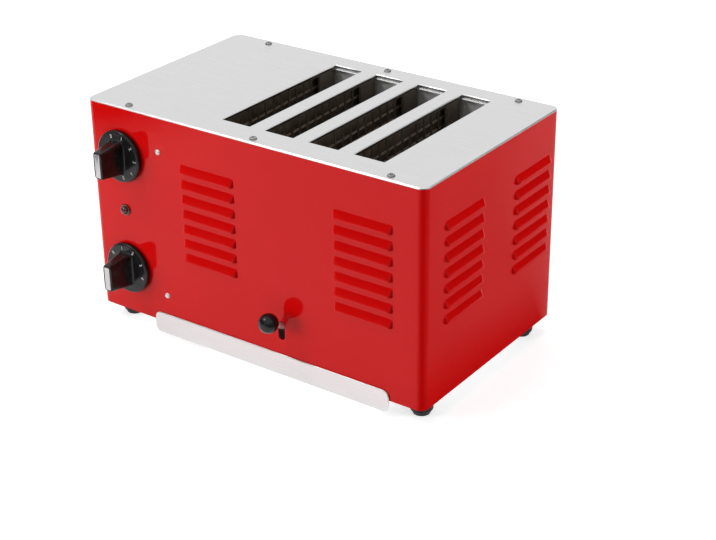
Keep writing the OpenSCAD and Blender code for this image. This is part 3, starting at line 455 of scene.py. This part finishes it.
def ball_grip(finish):
    """The ball on the lever's rod: a sphere with a short turned collar where the rod goes in."""
    low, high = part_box("lever_ball")
    centre = np.array((low + high) / 2)
    axis = 0, -math.cos(LEVER_UP), math.sin(LEVER_UP)
    collar_r, rod_r, bore, edge, back = 4.6 * MM, 3.05 * MM, 5 * MM, 0.4 * MM, BALL_R * 0.99
    start = -math.sqrt(BALL_R ** 2 - collar_r ** 2)
    a = np.linspace(math.asin(start / BALL_R), QUARTER, 40)
    profile = np.concatenate([[[0, -bore], [rod_r, -bore], [rod_r, -back]],
                              arc((collar_r, -back + edge), (collar_r - edge, -back), 5)[::-1],
                              np.stack([BALL_R * np.cos(a), BALL_R * np.sin(a)], -1)])
    ball = revolve(profile, centre, axis, (1, 0, 0))
    piece("ball_grip", [ball], "lever", finish, ["lever_ball"])


def lamp_dome(finish):
    """The indicator: a collar on the panel and a low dome, turned about its own axis."""
    low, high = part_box("lamp_lens")
    centre = np.array([(low.x + high.x) / 2, FRONT_Y, (low.z + high.z) / 2])
    r, collar_r, collar_h, edge = 4 * MM, 5.5 * MM, 1.5 * MM, 0.5 * MM
    depth = high.y - FRONT_Y
    a = np.linspace(0, QUARTER, 16)
    dome = np.stack([r * np.cos(a), collar_h + r * np.sin(a)], -1)
    profile = np.concatenate([[[0, -depth], [r, -depth], [r, 0], [collar_r, 0]],
                              arc((collar_r, collar_h - edge), (collar_r - edge, collar_h), 5), dome])
    lamp = revolve(profile, centre, (0, -1, 0), (1, 0, 0), 64)
    piece("lamp_dome", [lamp], "body", finish, ["lamp_lens"])


# Feet, screws and rivets

def rubber_feet(finish):
    """Each foot is turned: a plain cylinder, a bevel to a narrower tread, and a recess for its screw."""
    bevel, edge, bore, seat = 2.5 * MM, 0.8 * MM, 3.7 * MM, 4 * MM
    chamfer, flare, tread_h, shoulder = 0.3 * MM, 0.2 * MM, 1.6 * MM, 0.5 * MM
    for corner in ("front_left", "front_right", "rear_left", "rear_right"):
        low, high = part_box(f"foot_{corner}")
        centre = np.array([(low.x + high.x) / 2, (low.y + high.y) / 2, 0])
        r, h = (high.x - low.x) / 2, high.z
        profile = np.concatenate([
            [[0, seat], [bore, seat], [bore, chamfer], [bore + chamfer, 0]],
            arc((r - bevel, edge), (r - bevel - edge, 0), 6)[::-1],
            [[r - bevel + flare, tread_h], [r - chamfer, 2 * bevel - shoulder], [r, 2 * bevel + flare]],
            arc((r, h - edge), (r - edge, h), 6), [[0, h]]])
        foot = revolve(profile, centre, (0, 0, 1), (1, 0, 0), 72)
        piece(f"rubber_{corner}", [foot], "body", finish, [f"foot_{corner}"])


def cross_head(origin, axis, across, spin):
    """A domed screw head on its shank, with a cross recess turned by spin.

    Height over the polar grid is an ellipse's, less the recess where an arm of the cross covers the point."""
    fine_r, arm, half, soft, deep = 2.2 * MM, 1.9 * MM, 0.45 * MM, 0.15 * MM, 0.9 * MM
    r = np.concatenate([np.linspace(0, fine_r, 20), np.linspace(fine_r + 0.1 * MM, HEAD_R, 12)])
    a = np.linspace(0, 2 * math.pi, 72, endpoint=False)
    rr, aa = np.meshgrid(r, a, indexing="ij")
    x, y = np.abs(rr * np.cos(aa + spin)), np.abs(rr * np.sin(aa + spin))
    dome = HEAD_H * np.sqrt(np.clip(1 - (rr / HEAD_R) ** 2, 0, 1))
    narrow, long = np.minimum(x, y), np.maximum(x, y)
    cross = np.clip((half - narrow) / soft, 0, 1) * np.clip((arm - long) / soft, 0, 1)
    height = dome - deep * cross * np.clip(1 - long / arm / 2, 0, 1)
    axis, across = np.asarray(axis, float), np.asarray(across, float)
    third = np.cross(axis, across)
    plane = (rr * np.cos(aa))[..., None] * across + (rr * np.sin(aa))[..., None] * third
    head = np.asarray(origin) + plane + height[..., None] * axis
    shank = revolve([[HEAD_R, 0], [SHANK_R, 0], [SHANK_R, -SHANK_L], [0, -SHANK_L]], origin, axis, across, 72)
    return [ring_grid(head), shank]


def rivet(origin, axis, across, head_r):
    """A blind rivet's head on its shank: a low dome with the dimple that its mandrel leaves."""
    dimple_r, dimple_h = 0.9 * MM, 0.7 * MM
    a = np.linspace(0, 1, 18)
    r = head_r * a
    dimple = dimple_h * np.exp(-(r / dimple_r) ** 4)
    head = np.stack([r, HEAD_H * np.sqrt(1 - a ** 2) - dimple], -1)
    profile = np.concatenate([head, [[SHANK_R, 0], [SHANK_R, -SHANK_L], [0, -SHANK_L]]])
    return [revolve(profile, origin, axis, across, 48)]


def top_screws(finish):
    """Six cross-head screws in the top plate, in two rows of three, each turned its own way."""
    low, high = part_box("top_plate_screws")
    columns = low.x + HEAD_R, (low.x + high.x) / 2, high.x - HEAD_R
    places = [(x, y) for y in (low.y + HEAD_R, high.y - HEAD_R) for x in columns]
    parts = [p for k, (x, y) in enumerate(places)
             for p in cross_head((x, y, plate_high.z), (0, 0, 1), (1, 0, 0), 0.4 + 0.7 * k)]
    piece("top_screw_heads", parts, "body", finish, ["top_plate_screws"], sharp=50)


def back_screws(finish):
    """Six cross-head screws that hold the rear panel to the casing's returns, each turned its own way."""
    low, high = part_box("rear_screws")
    heights = low.z + HEAD_R, (low.z + high.z) / 2, high.z - HEAD_R
    places = [(x, z) for x in (low.x + HEAD_R, high.x - HEAD_R) for z in heights]
    parts = [p for k, (x, z) in enumerate(places)
             for p in cross_head((x, REAR_Y, z), (0, 1, 0), (1, 0, 0), 0.2 + 0.9 * k)]
    piece("back_screw_heads", parts, "body", finish, ["rear_screws"], sharp=50)


def panel_rivets(finish):
    """Two blind rivets in the front panel."""
    low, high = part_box("front_rivets")
    x, r = (low.x + high.x) / 2, (high.x - low.x) / 2
    parts = [p for z in (low.z + r, high.z - r) for p in rivet((x, FRONT_Y, z), (0, -1, 0), (1, 0, 0), r)]
    piece("panel_rivets", parts, "body", finish, ["front_rivets"], sharp=60)


# Crumb tray

def crumb_drawer(finish):
    """The tray: a front lip with round corners, a floor, a pan bent from one sheet and a rear wall in it."""
    low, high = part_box("crumb_tray")
    t, seam, corner = 1 * MM, 0.005 * MM, 7 * MM
    half, flange, drop = 98 * MM, 6 * MM, CASE_Z - 2 * MM - low.z
    pan_y = FRONT_Y + 4 * MM
    lip_half = (high.x - low.x) / 2, (high.z - low.z) / 2
    inner = half - t - seam
    piece("crumb_drawer", [
        lip_sheet((low.x + high.x) / 2, low.y, (high.z + low.z) / 2, *lip_half, corner, t),
        block((CHAMBER_X - half, low.y + t + seam, low.z), (CHAMBER_X + half, pan_y - seam, low.z + t)),
        pan_sheet(pan_y, high.y, low.z, half, flange, drop, t),
        block((CHAMBER_X - inner, high.y - t, low.z + t + seam),
              (CHAMBER_X + inner, high.y - seam, low.z + drop)),
    ], "tray", finish, ["crumb_tray"])


def block(low, high):
    """A plain box between two corners: its top face's grid and its under face's, joined by walls."""
    x, y = np.meshgrid([low[0], high[0]], [low[1], high[1]], indexing="ij")
    top, under = (np.stack([x, y, np.full_like(x, z)], -1).reshape(-1, 3) for z in (high[2], low[2]))
    return slab(top, under, quads(2, 2))


def lip_sheet(mid_x, face_y, mid_z, half_x, half_z, radius, t):
    """An upright plate with round corners and a rolled front edge."""
    roll = 0.9 * MM
    x = lines(edge_lines(half_x, radius, roll), np.linspace(-half_x, half_x, 21)[1:-1])
    z = lines(edge_lines(half_z, radius, roll), [0])
    a, b = np.meshgrid(x, z, indexing="ij")
    back = rolled(np.minimum(half_x - np.abs(a), half_z - np.abs(b)), roll)
    a, b = round_corners(a, b, half_x, half_z, radius)
    front = np.stack([mid_x + a, face_y + back, mid_z + b], -1).reshape(-1, 3)
    rear = np.stack([mid_x + a, np.full_like(a, face_y + t), mid_z + b], -1).reshape(-1, 3)
    return slab(front, rear, quads(*a.shape))


def pan_sheet(front_y, rear_y, low_z, half, flange, drop, t):
    """A channel with turned-out flanges, bent from one sheet: flange, wall, floor, wall, flange."""
    x, z = pan_section(half, flange, drop, t).T[..., None]
    y = np.linspace(front_y, rear_y, 4)
    return slab_closed(np.stack(np.broadcast_arrays(CHAMBER_X + x, y, low_z + z), -1))


def pan_section(half, flange, drop, t):
    """Closed outline of the channel: along the underside from left to right, and back along the top."""
    wide, inner = half + flange, half - t
    under = [[-wide, drop - t], [-half, drop - t], [-half, 0], [half, 0], [half, drop - t], [wide, drop - t]]
    over = [[wide, drop], [inner, drop], [inner, t], [-inner, t], [-inner, drop], [-wide, drop]]
    return np.array(under + over)


def slab_closed(outline):
    """A closed outline carried along rows of places, with both ends capped."""
    count, rows = outline.shape[:2]
    sides = quads(count, rows, close_rows=True)
    i = np.arange(count // 2 - 1)
    cap = np.stack([i, i + 1, count - 2 - i, count - 1 - i], -1) * rows
    return outline.reshape(-1, 3), np.concatenate([sides, cap, cap[:, ::-1] + rows - 1])


# Chamber and heating elements

def slot_end_strips(finish):
    """Bevelled strips along the tops of the chamber's front and rear walls, in view at the slots' ends.

    A bevel is a straight slope bowed out by a parabola; each of its points is paired with the wall's point
    at the same height."""
    reach, rise, below, bow, clear = 3.2 * MM, 1.8 * MM, 0.5 * MM, 0.1 * MM, 0.5 * MM
    outwards = [0.5, 0.87]
    t = np.linspace(0, 1, 8)
    bevel = np.stack([reach * (1 - t), rise * t], -1) + (4 * bow * t * (1 - t))[:, None] * outwards
    section = np.concatenate([bevel, (bevel * [0, 1])[::-1]])
    low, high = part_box("chamber_rear")
    x = np.array([low.x + clear, high.x - clear])
    z = high.z - below - rise + section[:, 1]
    parts = []
    for wall_y, inward in ((low.y, -1), (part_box("chamber_front")[1].y, 1)):
        y = wall_y + inward * section[:, 0]
        parts.append(slab_closed(np.stack(np.broadcast_arrays(x[None], y[:, None], z[:, None]), -1)))
    piece("slot_end_strips", parts, "body", finish)


def ribbon_windings(finish):
    """Five flat ribbons, each wound up its card: a stadium path whose height grows with its length."""
    low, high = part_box("element_ribbons")
    cards = [sum(c.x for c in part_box(f"element_cage_{k}")) / 2 for k in range(1, 6)]
    turns, width, thick, reach = 13, 2.2 * MM, 0.5 * MM, 0.85 * MM
    half = (high.y - low.y) / 2 - reach - thick / 2
    leg = np.tile([2 * half, math.pi * reach], 2 * turns)[:-1]
    run = np.concatenate([[0], np.cumsum(leg)])
    index = np.arange(len(run))
    y = (low.y + high.y) / 2 + half * np.where((index + 1) // 2 % 2 == 0, -1, 1)
    knots = np.stack([run, np.zeros(len(run)), y, 180.0 * (index // 2)], -1)
    s = lines(*[np.linspace(run[k], run[k + 1], 9) for k in range(len(run) - 1)])
    line, out = bent_path(knots, reach, s)
    z = low.z + width / 2 + (high.z - low.z - width) * s / s[-1]
    edge = np.array([[-1, -1], [1, -1], [1, 1], [-1, 1]]) / 2
    flat = line[:, None] + out[:, None] * (edge[None, :, :1] * thick)
    strip = np.concatenate([flat, z[:, None, None] + edge[None, :, 1:] * width], -1)
    ends = np.array([[0, 1, 2, 3], np.arange(4)[::-1] + 4 * (len(s) - 1)])
    faces = np.concatenate([quads(len(s), 4, close_cols=True), ends])
    parts = [(strip.reshape(-1, 3) + [c, 0, 0], faces) for c in cards]
    piece("ribbon_windings", parts, "body", finish, ["element_ribbons"])


# Materials

def shader(name):
    """A new material and its main shader."""
    m = bpy.data.materials.new(name)
    m.use_nodes = True
    return m, m.node_tree.nodes["Principled BSDF"]


def node(m, kind, links=(), **values):
    """A node with its settings or input values by name; links are (from node, from socket, to socket)."""
    n = m.node_tree.nodes.new(kind)
    for key, value in values.items():
        if hasattr(n, key):
            setattr(n, key, value)
        else:
            n.inputs[key.replace("_", " ").title()].default_value = value
    for source, out, into in links:
        m.node_tree.links.new(source.outputs[out], n.inputs[into])
    return n


def link(m, source, out, target, into):
    """Joins one node's output to another's input."""
    m.node_tree.links.new(source.outputs[out], target.inputs[into])


def noise(m, scale, stretch=(1, 1, 1), detail=3.0, roughness=0.55):
    """Noise on Object coordinates, stretched by a Mapping node; scale is per metre."""
    place = node(m, "ShaderNodeTexCoord")
    mapping = node(m, "ShaderNodeMapping", [(place, "Object", "Vector")], Scale=stretch)
    return node(m, "ShaderNodeTexNoise", [(mapping, "Vector", "Vector")],
                Scale=scale, Detail=detail, Roughness=roughness)


def ramp(m, source, out, stops):
    """A colour ramp from (place, grey or colour) stops."""
    n = node(m, "ShaderNodeValToRGB", [(source, out, "Fac")])
    elements = n.color_ramp.elements
    while len(elements) < len(stops):
        elements.new(0.5)
    for element, (place, colour) in zip(elements, stops):
        element.position = place
        rgb = (colour,) * 3 if isinstance(colour, float) else colour
        element.color = (*rgb, 1)
    return n


def bump(m, p, source, out, strength, distance):
    """Fine relief on the shader from a node's output; distance is in metres."""
    n = node(m, "ShaderNodeBump", [(source, out, "Height")], Strength=strength, Distance=distance)
    link(m, n, "Normal", p, "Normal")


def red_enamel():
    """Gloss stove enamel: deep red with a faint cloud, a trace of orange peel and an uneven polish."""
    m, p = shader("red_enamel")
    cloud = noise(m, 9.0)
    colour = ramp(m, cloud, "Fac", [(0.3, (0.585, 0.0022, 0.0024)), (0.7, (0.615, 0.0028, 0.003))])
    link(m, colour, "Color", p, "Base Color")
    polish = noise(m, 40.0)
    rough = ramp(m, polish, "Fac", [(0.3, 0.05), (0.7, 0.085)])
    link(m, rough, "Color", p, "Roughness")
    p.inputs["Specular IOR Level"].default_value = 0.165
    peel = noise(m, 450.0, detail=1.0)
    bump(m, p, peel, "Fac", 0.04, 0.00015)
    return m


def brushed(name, low, high, rough_low, rough_high, along=(1, 60, 60), scale=28.0):
    """Steel brushed along one axis: streaks of colour and polish, and fine scratches as bump."""
    m, p = shader(name)
    p.inputs["Metallic"].default_value = 1.0
    streak = noise(m, scale, along, 4.0)
    colour = ramp(m, streak, "Fac", [(0.25, low), (0.75, high)])
    link(m, colour, "Color", p, "Base Color")
    fine = noise(m, scale * 4, along, 3.0)
    rough = ramp(m, fine, "Fac", [(0.25, rough_low), (0.75, rough_high)])
    link(m, rough, "Color", p, "Roughness")
    bump(m, p, fine, "Fac", 0.12, 0.0001)
    return m


def plated_steel():
    """Zinc plated sheet: soft grey spangle with slight haze."""
    m, p = shader("plated_steel")
    p.inputs["Metallic"].default_value = 1.0
    place = node(m, "ShaderNodeTexCoord")
    flakes = node(m, "ShaderNodeTexVoronoi", [(place, "Object", "Vector")], Scale=160.0)
    colour = ramp(m, flakes, "Distance", [(0.1, 0.50), (0.8, 0.60)])
    link(m, colour, "Color", p, "Base Color")
    haze = noise(m, 60.0)
    rough = ramp(m, haze, "Fac", [(0.3, 0.30), (0.7, 0.42)])
    link(m, rough, "Color", p, "Roughness")
    return m


def chamber_steel():
    """Aluminised sheet and wire that has been hot: brown and blue-grey stains, dull polish."""
    m, p = shader("chamber_steel")
    p.inputs["Metallic"].default_value = 0.85
    stain = noise(m, 22.0, (1, 1, 0.5), 5.0)
    stops = [(0.25, (0.10, 0.075, 0.055)), (0.5, (0.20, 0.165, 0.13)), (0.8, (0.24, 0.235, 0.23))]
    link(m, ramp(m, stain, "Fac", stops), "Color", p, "Base Color")
    soot = noise(m, 140.0)
    rough = ramp(m, soot, "Fac", [(0.3, 0.35), (0.7, 0.6)])
    link(m, rough, "Color", p, "Roughness")
    bump(m, p, soot, "Fac", 0.1, 0.0002)
    return m


def chamber_sheet():
    """Aluminised sheet: pale grey and dull, with faint stains from heat."""
    m, p = shader("chamber_sheet")
    p.inputs["Metallic"].default_value = 0.05
    stain = noise(m, 18.0, (1, 1, 0.4), 5.0)
    colour = ramp(m, stain, "Fac", [(0.25, (0.82, 0.81, 0.79)), (0.7, (0.93, 0.93, 0.92))])
    link(m, colour, "Color", p, "Base Color")
    haze = noise(m, 120.0)
    rough = ramp(m, haze, "Fac", [(0.3, 0.45), (0.7, 0.6)])
    link(m, rough, "Color", p, "Roughness")
    return m


def bright_steel():
    """Bright plated steel with faint turning marks."""
    m, p = shader("bright_steel")
    p.inputs["Metallic"].default_value = 0.55
    marks = noise(m, 300.0)
    colour = ramp(m, marks, "Fac", [(0.3, 0.76), (0.7, 0.84)])
    link(m, colour, "Color", p, "Base Color")
    rough = ramp(m, marks, "Fac", [(0.3, 0.22), (0.7, 0.34)])
    link(m, rough, "Color", p, "Roughness")
    return m


def screw_steel():
    """Dull zinc on screw heads: dark grey, a little uneven."""
    m, p = shader("screw_steel")
    p.inputs["Metallic"].default_value = 1.0
    tone = noise(m, 240.0)
    colour = ramp(m, tone, "Fac", [(0.3, 0.24), (0.7, 0.34)])
    link(m, colour, "Color", p, "Base Color")
    rough = ramp(m, tone, "Fac", [(0.3, 0.3), (0.7, 0.42)])
    link(m, rough, "Color", p, "Roughness")
    return m


def moulding(name, low, high, rough_low, rough_high, grain=900.0, depth=0.05, gloss=0.25):
    """Moulded plastic: near-even colour, a fine moulded grain and handling marks in its polish."""
    m, p = shader(name)
    shade = noise(m, 120.0)
    colour = ramp(m, shade, "Fac", [(0.3, low), (0.7, high)])
    link(m, colour, "Color", p, "Base Color")
    handling = noise(m, 70.0, detail=5.0)
    rough = ramp(m, handling, "Fac", [(0.3, rough_low), (0.7, rough_high)])
    link(m, rough, "Color", p, "Roughness")
    p.inputs["Specular IOR Level"].default_value = gloss
    texture = noise(m, grain, detail=1.0)
    bump(m, p, texture, "Fac", depth, 0.0001)
    return m


def mica():
    """Mica sheet browned by heat: flaky layers with darker veins."""
    m, p = shader("mica")
    flake = noise(m, 70.0, detail=6.0)
    stops = [(0.3, (0.08, 0.057, 0.04)), (0.55, (0.16, 0.118, 0.086)), (0.75, (0.27, 0.208, 0.155))]
    link(m, ramp(m, flake, "Fac", stops), "Color", p, "Base Color")
    p.inputs["Roughness"].default_value = 0.35
    bump(m, p, flake, "Fac", 0.15, 0.0003)
    return m


def element_ribbon():
    """Oxidised resistance ribbon: grey-brown with scale, paler than its card."""
    m, p = shader("element_ribbon")
    p.inputs["Metallic"].default_value = 0.15
    scale = noise(m, 260.0)
    colour = ramp(m, scale, "Fac", [(0.3, (0.64, 0.52, 0.43)), (0.7, (0.88, 0.74, 0.63))])
    link(m, colour, "Color", p, "Base Color")
    p.inputs["Roughness"].default_value = 0.5
    return m


def lamp_glass():
    """Dark red moulded lens, unlit, with a deep gloss."""
    m, p = shader("lamp_lens")
    depth = noise(m, 500.0)
    colour = ramp(m, depth, "Fac", [(0.3, (0.05, 0.006, 0.005)), (0.7, (0.09, 0.011, 0.009))])
    link(m, colour, "Color", p, "Base Color")
    p.inputs["Roughness"].default_value = 0.12
    p.inputs["Coat Weight"].default_value = 0.6
    return m


# The record's material slots, and two finishes that only the scene's own pieces have
FINISHES = {
    "red_enamel": red_enamel(),
    "brushed_steel": brushed("brushed_steel", 0.63, 0.73, 0.24, 0.36),
    "tray_steel": brushed("tray_steel", 0.67, 0.75, 0.26, 0.36),
    "plated_steel": plated_steel(),
    "chamber_sheet": chamber_sheet(),
    "chamber_steel": chamber_steel(),
    "bright_steel": bright_steel(),
    "black_moulding": moulding("black_moulding", 0.008, 0.012, 0.14, 0.24, gloss=0.3),
    "insert_silver": brushed("insert_silver", 0.44, 0.56, 0.18, 0.3, (60, 60, 1), 60.0),
    "black_rubber": moulding("black_rubber", 0.010, 0.018, 0.5, 0.68, 700.0, 0.2),
    "mica": mica(),
    "element_ribbon": element_ribbon(),
    "switch_moulding": moulding("switch_moulding", 0.035, 0.05, 0.38, 0.52),
    "terminal_moulding": moulding("terminal_moulding", (0.62, 0.56, 0.44), (0.70, 0.65, 0.53), 0.4, 0.55),
    "lamp_lens": lamp_glass(),
}
SCREW = screw_steel()
PRINT = moulding("dial_print", 0.72, 0.80, 0.4, 0.5)


def dress_solids():
    """Every solid that stays in view takes the finish of its record slot."""
    for part in frame["record"]["subparts"]:
        mesh = frame["nodes"][part["node"]].data
        mesh.materials.clear()
        mesh.materials.append(FINISHES[part["material_slot"]])


# Stage, light and camera

FLOOR_HALF, FLOOR_GREY, FLOOR_GLOW = 6.0, 0.8, 0.62
FILL, WHITE = 0.2, 1.0

# Reflection cards: shades (the last is a painted shadow: the toaster's own shadow on the floor beside it, as its
# side mirrors it), the ends of the floor cards, and the walls as name, first and last angle from the front towards
# the right, height and shade
DARK, GREY, PAINTED_SHADOW = 0.03, 0.55, 0.04
CARD_Z, CARD_END, CARD_SPAN, CARD_REAR = 2 * MM, 1.8, 1.0, 0.8
WALL_R, WALL_FOOT = 2.6, 20 * MM
WALLS = (("left_wall", -85, -10, 1.7, DARK), ("front_wall", -10, 115, 1.2, 0.45),
         ("right_wall", 115, 162, 1.7, DARK))

# Lamps: name, place and size in metres, power in watts, and whether gloss mirrors them
LAMPS = (("front_box", (-1.5, -1.9, 0.5), 1.2, 38, False), ("right_box", (2.1, 0.6, 0.5), 1.2, 24, False),
         ("key_box", (-0.92, -1.05, 1.81), 0.5, 9, True), ("top_box", (-0.2, 0.6, 2.4), 1.4, 23, False))
LAMP_TARGET_Z = 0.12


def shown_rays(tree):
    """One where a ray comes from the camera, a reflection or a clear piece, and zero for the rest."""
    path = tree.nodes.new("ShaderNodeLightPath")
    shown = path.outputs["Is Camera Ray"]
    for kind in ("Is Glossy Ray", "Is Transmission Ray"):
        either = tree.nodes.new("ShaderNodeMath")
        either.operation = "MAXIMUM"
        tree.links.new(shown, either.inputs[0])
        tree.links.new(path.outputs[kind], either.inputs[1])
        shown = either.outputs[0]
    return shown


def stage_object(name, points, faces, material):
    """A piece of the studio, which isn't part of the toaster."""
    mesh = bpy.data.meshes.new(name)
    mesh.from_pydata(points.reshape(-1, 3).tolist(), [], faces.tolist())
    mesh.materials.append(material)
    obj = bpy.data.objects.new(name, mesh)
    bpy.context.scene.collection.objects.link(obj)
    return obj


def matt(name, shade):
    """A plain matt grey without gloss."""
    m, p = shader(name)
    p.inputs["Base Color"].default_value = (shade, shade, shade, 1)
    p.inputs["Roughness"].default_value = 1.0
    p.inputs["Specular IOR Level"].default_value = 0.0
    return m, p


def studio_floor():
    """A plain white floor, a shade of its own light added for the camera and for reflections."""
    m, p = matt("floor_white", FLOOR_GREY)
    p.inputs["Roughness"].default_value = 0.9
    p.inputs["Emission Color"].default_value = (1, 1, 1, 1)
    glow = node(m, "ShaderNodeMath", operation="MULTIPLY")
    glow.inputs[1].default_value = FLOOR_GLOW
    m.node_tree.links.new(shown_rays(m.node_tree), glow.inputs[0])
    link(m, glow, 0, p, "Emission Strength")
    corners = FLOOR_HALF * np.array([[-1, -1, 0], [1, -1, 0], [1, 1, 0], [-1, 1, 0]])
    stage_object("studio_floor", corners, np.array([[0, 1, 2, 3]]), m)


def studio_world():
    """White to the camera and to reflections, a soft grey fill to everything else."""
    world = bpy.data.worlds.new("studio")
    bpy.context.scene.world = world
    world.use_nodes = True
    sky = world.node_tree.nodes["Background"]
    sky.inputs["Color"].default_value = (1, 1, 1, 1)
    level = node(world, "ShaderNodeMapRange", To_Min=FILL, To_Max=WHITE)
    world.node_tree.links.new(shown_rays(world.node_tree), level.inputs["Value"])
    link(world, level, "Result", sky, "Strength")


def reflected_card(name, points, faces, shade):
    """A matt card of the studio that shows in reflections only, so that gloss keeps its depth."""
    m, p = matt(name, shade)
    obj = stage_object(name, points, faces, m)
    obj.visible_camera = obj.visible_diffuse = obj.visible_shadow = False
    return m, p


def studio_walls():
    """Low walls round the front and the right, dark where the louvres face them and grey between.

    Each is an upright strip of a cylinder round the toaster."""
    for name, first, last, height, shade in WALLS:
        a, z = np.radians(np.linspace(first, last, 25)), np.array([WALL_FOOT, height])
        x, y = WALL_R * np.sin(a), MID_Y - WALL_R * np.cos(a)
        points = np.stack(np.broadcast_arrays(x[:, None], y[:, None], z[None]), -1)
        reflected_card(name, points, quads(len(a), 2), shade)


def floor_card(name, x, y, z, shade):
    """A level card over a span of x and a span of y."""
    a, b = np.meshgrid(x, y, indexing="ij")
    return reflected_card(name, np.stack([a, b, np.full_like(a, z)], -1), quads(2, 2), shade)


def from_point(m, x, y, z):
    """Object coordinates counted from a point."""
    place = node(m, "ShaderNodeTexCoord")
    return node(m, "ShaderNodeMapping", [(place, "Object", "Vector")], Location=(-x, -y, -z))


def clear_by_turn(m, p, x, y, stops):
    """Clears a card by the angle round a point: stops are (degrees from the right, cover)."""
    turn = node(m, "ShaderNodeTexGradient", [(from_point(m, x, y, 0), "Vector", "Vector")],
                gradient_type="RADIAL")
    cover = ramp(m, turn, "Fac", [(0.5 + degrees / 360, value) for degrees, value in stops])
    link(m, cover, "Color", p, "Alpha")


def side_card():
    """Grey beside the toaster, with a painted shadow close to it that stands for the toaster's own shadow on the
    floor, as the side mirrors it; it clears behind the rear corner.
    """
    side_x, shadow_reach = HALF_W + 8 * MM, 60 * MM
    m, p = floor_card("grey_card", [side_x, CARD_END], [FRONT_Y, REAR_Y + CARD_REAR], CARD_Z, GREY)
    axes = node(m, "ShaderNodeSeparateXYZ", [(node(m, "ShaderNodeTexCoord"), "Object", "Vector")])
    # Painted shadow: the card's shade falls from grey to near black towards the casing, for the toaster's shadow
    # on the floor
    level = node(m, "ShaderNodeMapRange", [(axes, "X", "Value")],
                 From_Min=side_x, From_Max=side_x + shadow_reach, To_Min=PAINTED_SHADOW, To_Max=GREY)
    link(m, level, "Result", p, "Base Color")
    clear_by_turn(m, p, side_x, REAR_Y, ((50, 1.0), (90, 0.0)))


def corner_card():
    """Dark off the right front corner; it clears to both sides, so that only the corner's bend shows it."""
    x, y = HALF_W - CORNER_R, FRONT_Y + CORNER_R
    span_x, span_y = [x - CARD_SPAN, CARD_END], [-CARD_END, y + CARD_SPAN]
    m, p = floor_card("corner_card", span_x, span_y, 1.5 * CARD_Z, DARK)
    clear_by_turn(m, p, x, y, ((-115, 0.0), (-65, 1.0), (-25, 1.0), (35, 0.0)))


def left_card():
    """Dark to the front left, where the panel above the timer mirrors it; it clears with the distance."""
    x, y, full, clear = -0.66, -0.60, 0.15, 0.27
    m, p = floor_card("left_card", [x - clear, x + clear], [y - clear, y + clear], CARD_Z, DARK)
    away = node(m, "ShaderNodeVectorMath", [(from_point(m, x, y, CARD_Z), "Vector", 0)], operation="LENGTH")
    cover = node(m, "ShaderNodeMapRange", [(away, "Value", "Value")],
                 From_Min=full, From_Max=clear, To_Min=1.0, To_Max=0.0)
    link(m, cover, "Result", p, "Alpha")


def soft_box(name, place, size, power, mirrored):
    """A square lamp that faces the middle of the toaster, seen in reflections or not."""
    data = bpy.data.lights.new(name, "AREA")
    data.shape = "SQUARE"
    data.size = size
    data.energy = power
    obj = bpy.data.objects.new(name, data)
    bpy.context.scene.collection.objects.link(obj)
    obj.location = place
    obj.visible_glossy = mirrored
    towards = Vector((0, MID_Y, LAMP_TARGET_Z)) - Vector(place)
    obj.rotation_euler = towards.to_track_quat("-Z", "Y").to_euler()


def photo_camera():
    """The photograph's camera: turned right of the front and raised, with a slight roll, on a long lens."""
    azimuth, elevation, roll = math.radians(35.57), math.radians(26.72), math.radians(-0.63)
    image_w, focal = 716, 1641
    distance, shift_x, shift_y = 1.5756, 31.68 * MM, 34.36 * MM
    level = math.cos(elevation)
    back = Vector((math.sin(azimuth) * level, -math.cos(azimuth) * level, math.sin(elevation)))
    right = Vector((math.cos(azimuth), math.sin(azimuth), 0))
    up = back.cross(right)
    right, up = math.cos(roll) * right + math.sin(roll) * up, math.cos(roll) * up - math.sin(roll) * right
    data = bpy.data.cameras.new("photo_camera")
    data.sensor_width = 36
    data.lens = data.sensor_width * focal / image_w
    obj = bpy.data.objects.new("photo_camera", data)
    bpy.context.scene.collection.objects.link(obj)
    place = Vector((0, MID_Y, CASE_Z)) + shift_x * right + shift_y * up + distance * back
    obj.matrix_world = Matrix.Translation(place) @ Matrix((right, up, back)).transposed().to_4x4()
    bpy.context.scene.camera = obj


dress_solids()
red_casing(FINISHES["red_enamel"])
rear_cover(FINISHES["red_enamel"])
steel_top(FINISHES["brushed_steel"])
# Each knob's numbers start at an angle from the top and go on by a step, in degrees
for control_name, words, first, step in (("timer", "012345", -18, 36.5), ("selector", "01234", -51, 39)):
    joint = f"{control_name}_turn"
    knob, insert = f"{control_name}_knob", f"{control_name}_insert"
    dial(f"{control_name}_dial", joint, control_name, knob, FINISHES["black_moulding"])
    grip_strip(f"{control_name}_strip", joint, control_name, insert, FINISHES["insert_silver"])
    dial_print(f"{control_name}_numbers", joint, control_name, words, first, step, PRINT)
ball_grip(FINISHES["black_moulding"])
lamp_dome(FINISHES["lamp_lens"])
rubber_feet(FINISHES["black_rubber"])
top_screws(SCREW)
back_screws(SCREW)
panel_rivets(FINISHES["bright_steel"])
crumb_drawer(FINISHES["tray_steel"])
slot_end_strips(FINISHES["bright_steel"])
ribbon_windings(FINISHES["element_ribbon"])

studio_floor()
studio_world()
studio_walls()
side_card()
corner_card()
left_card()
for lamp in LAMPS:
    soft_box(*lamp)
photo_camera()
bpy.context.scene.view_settings.view_transform = "Standard"
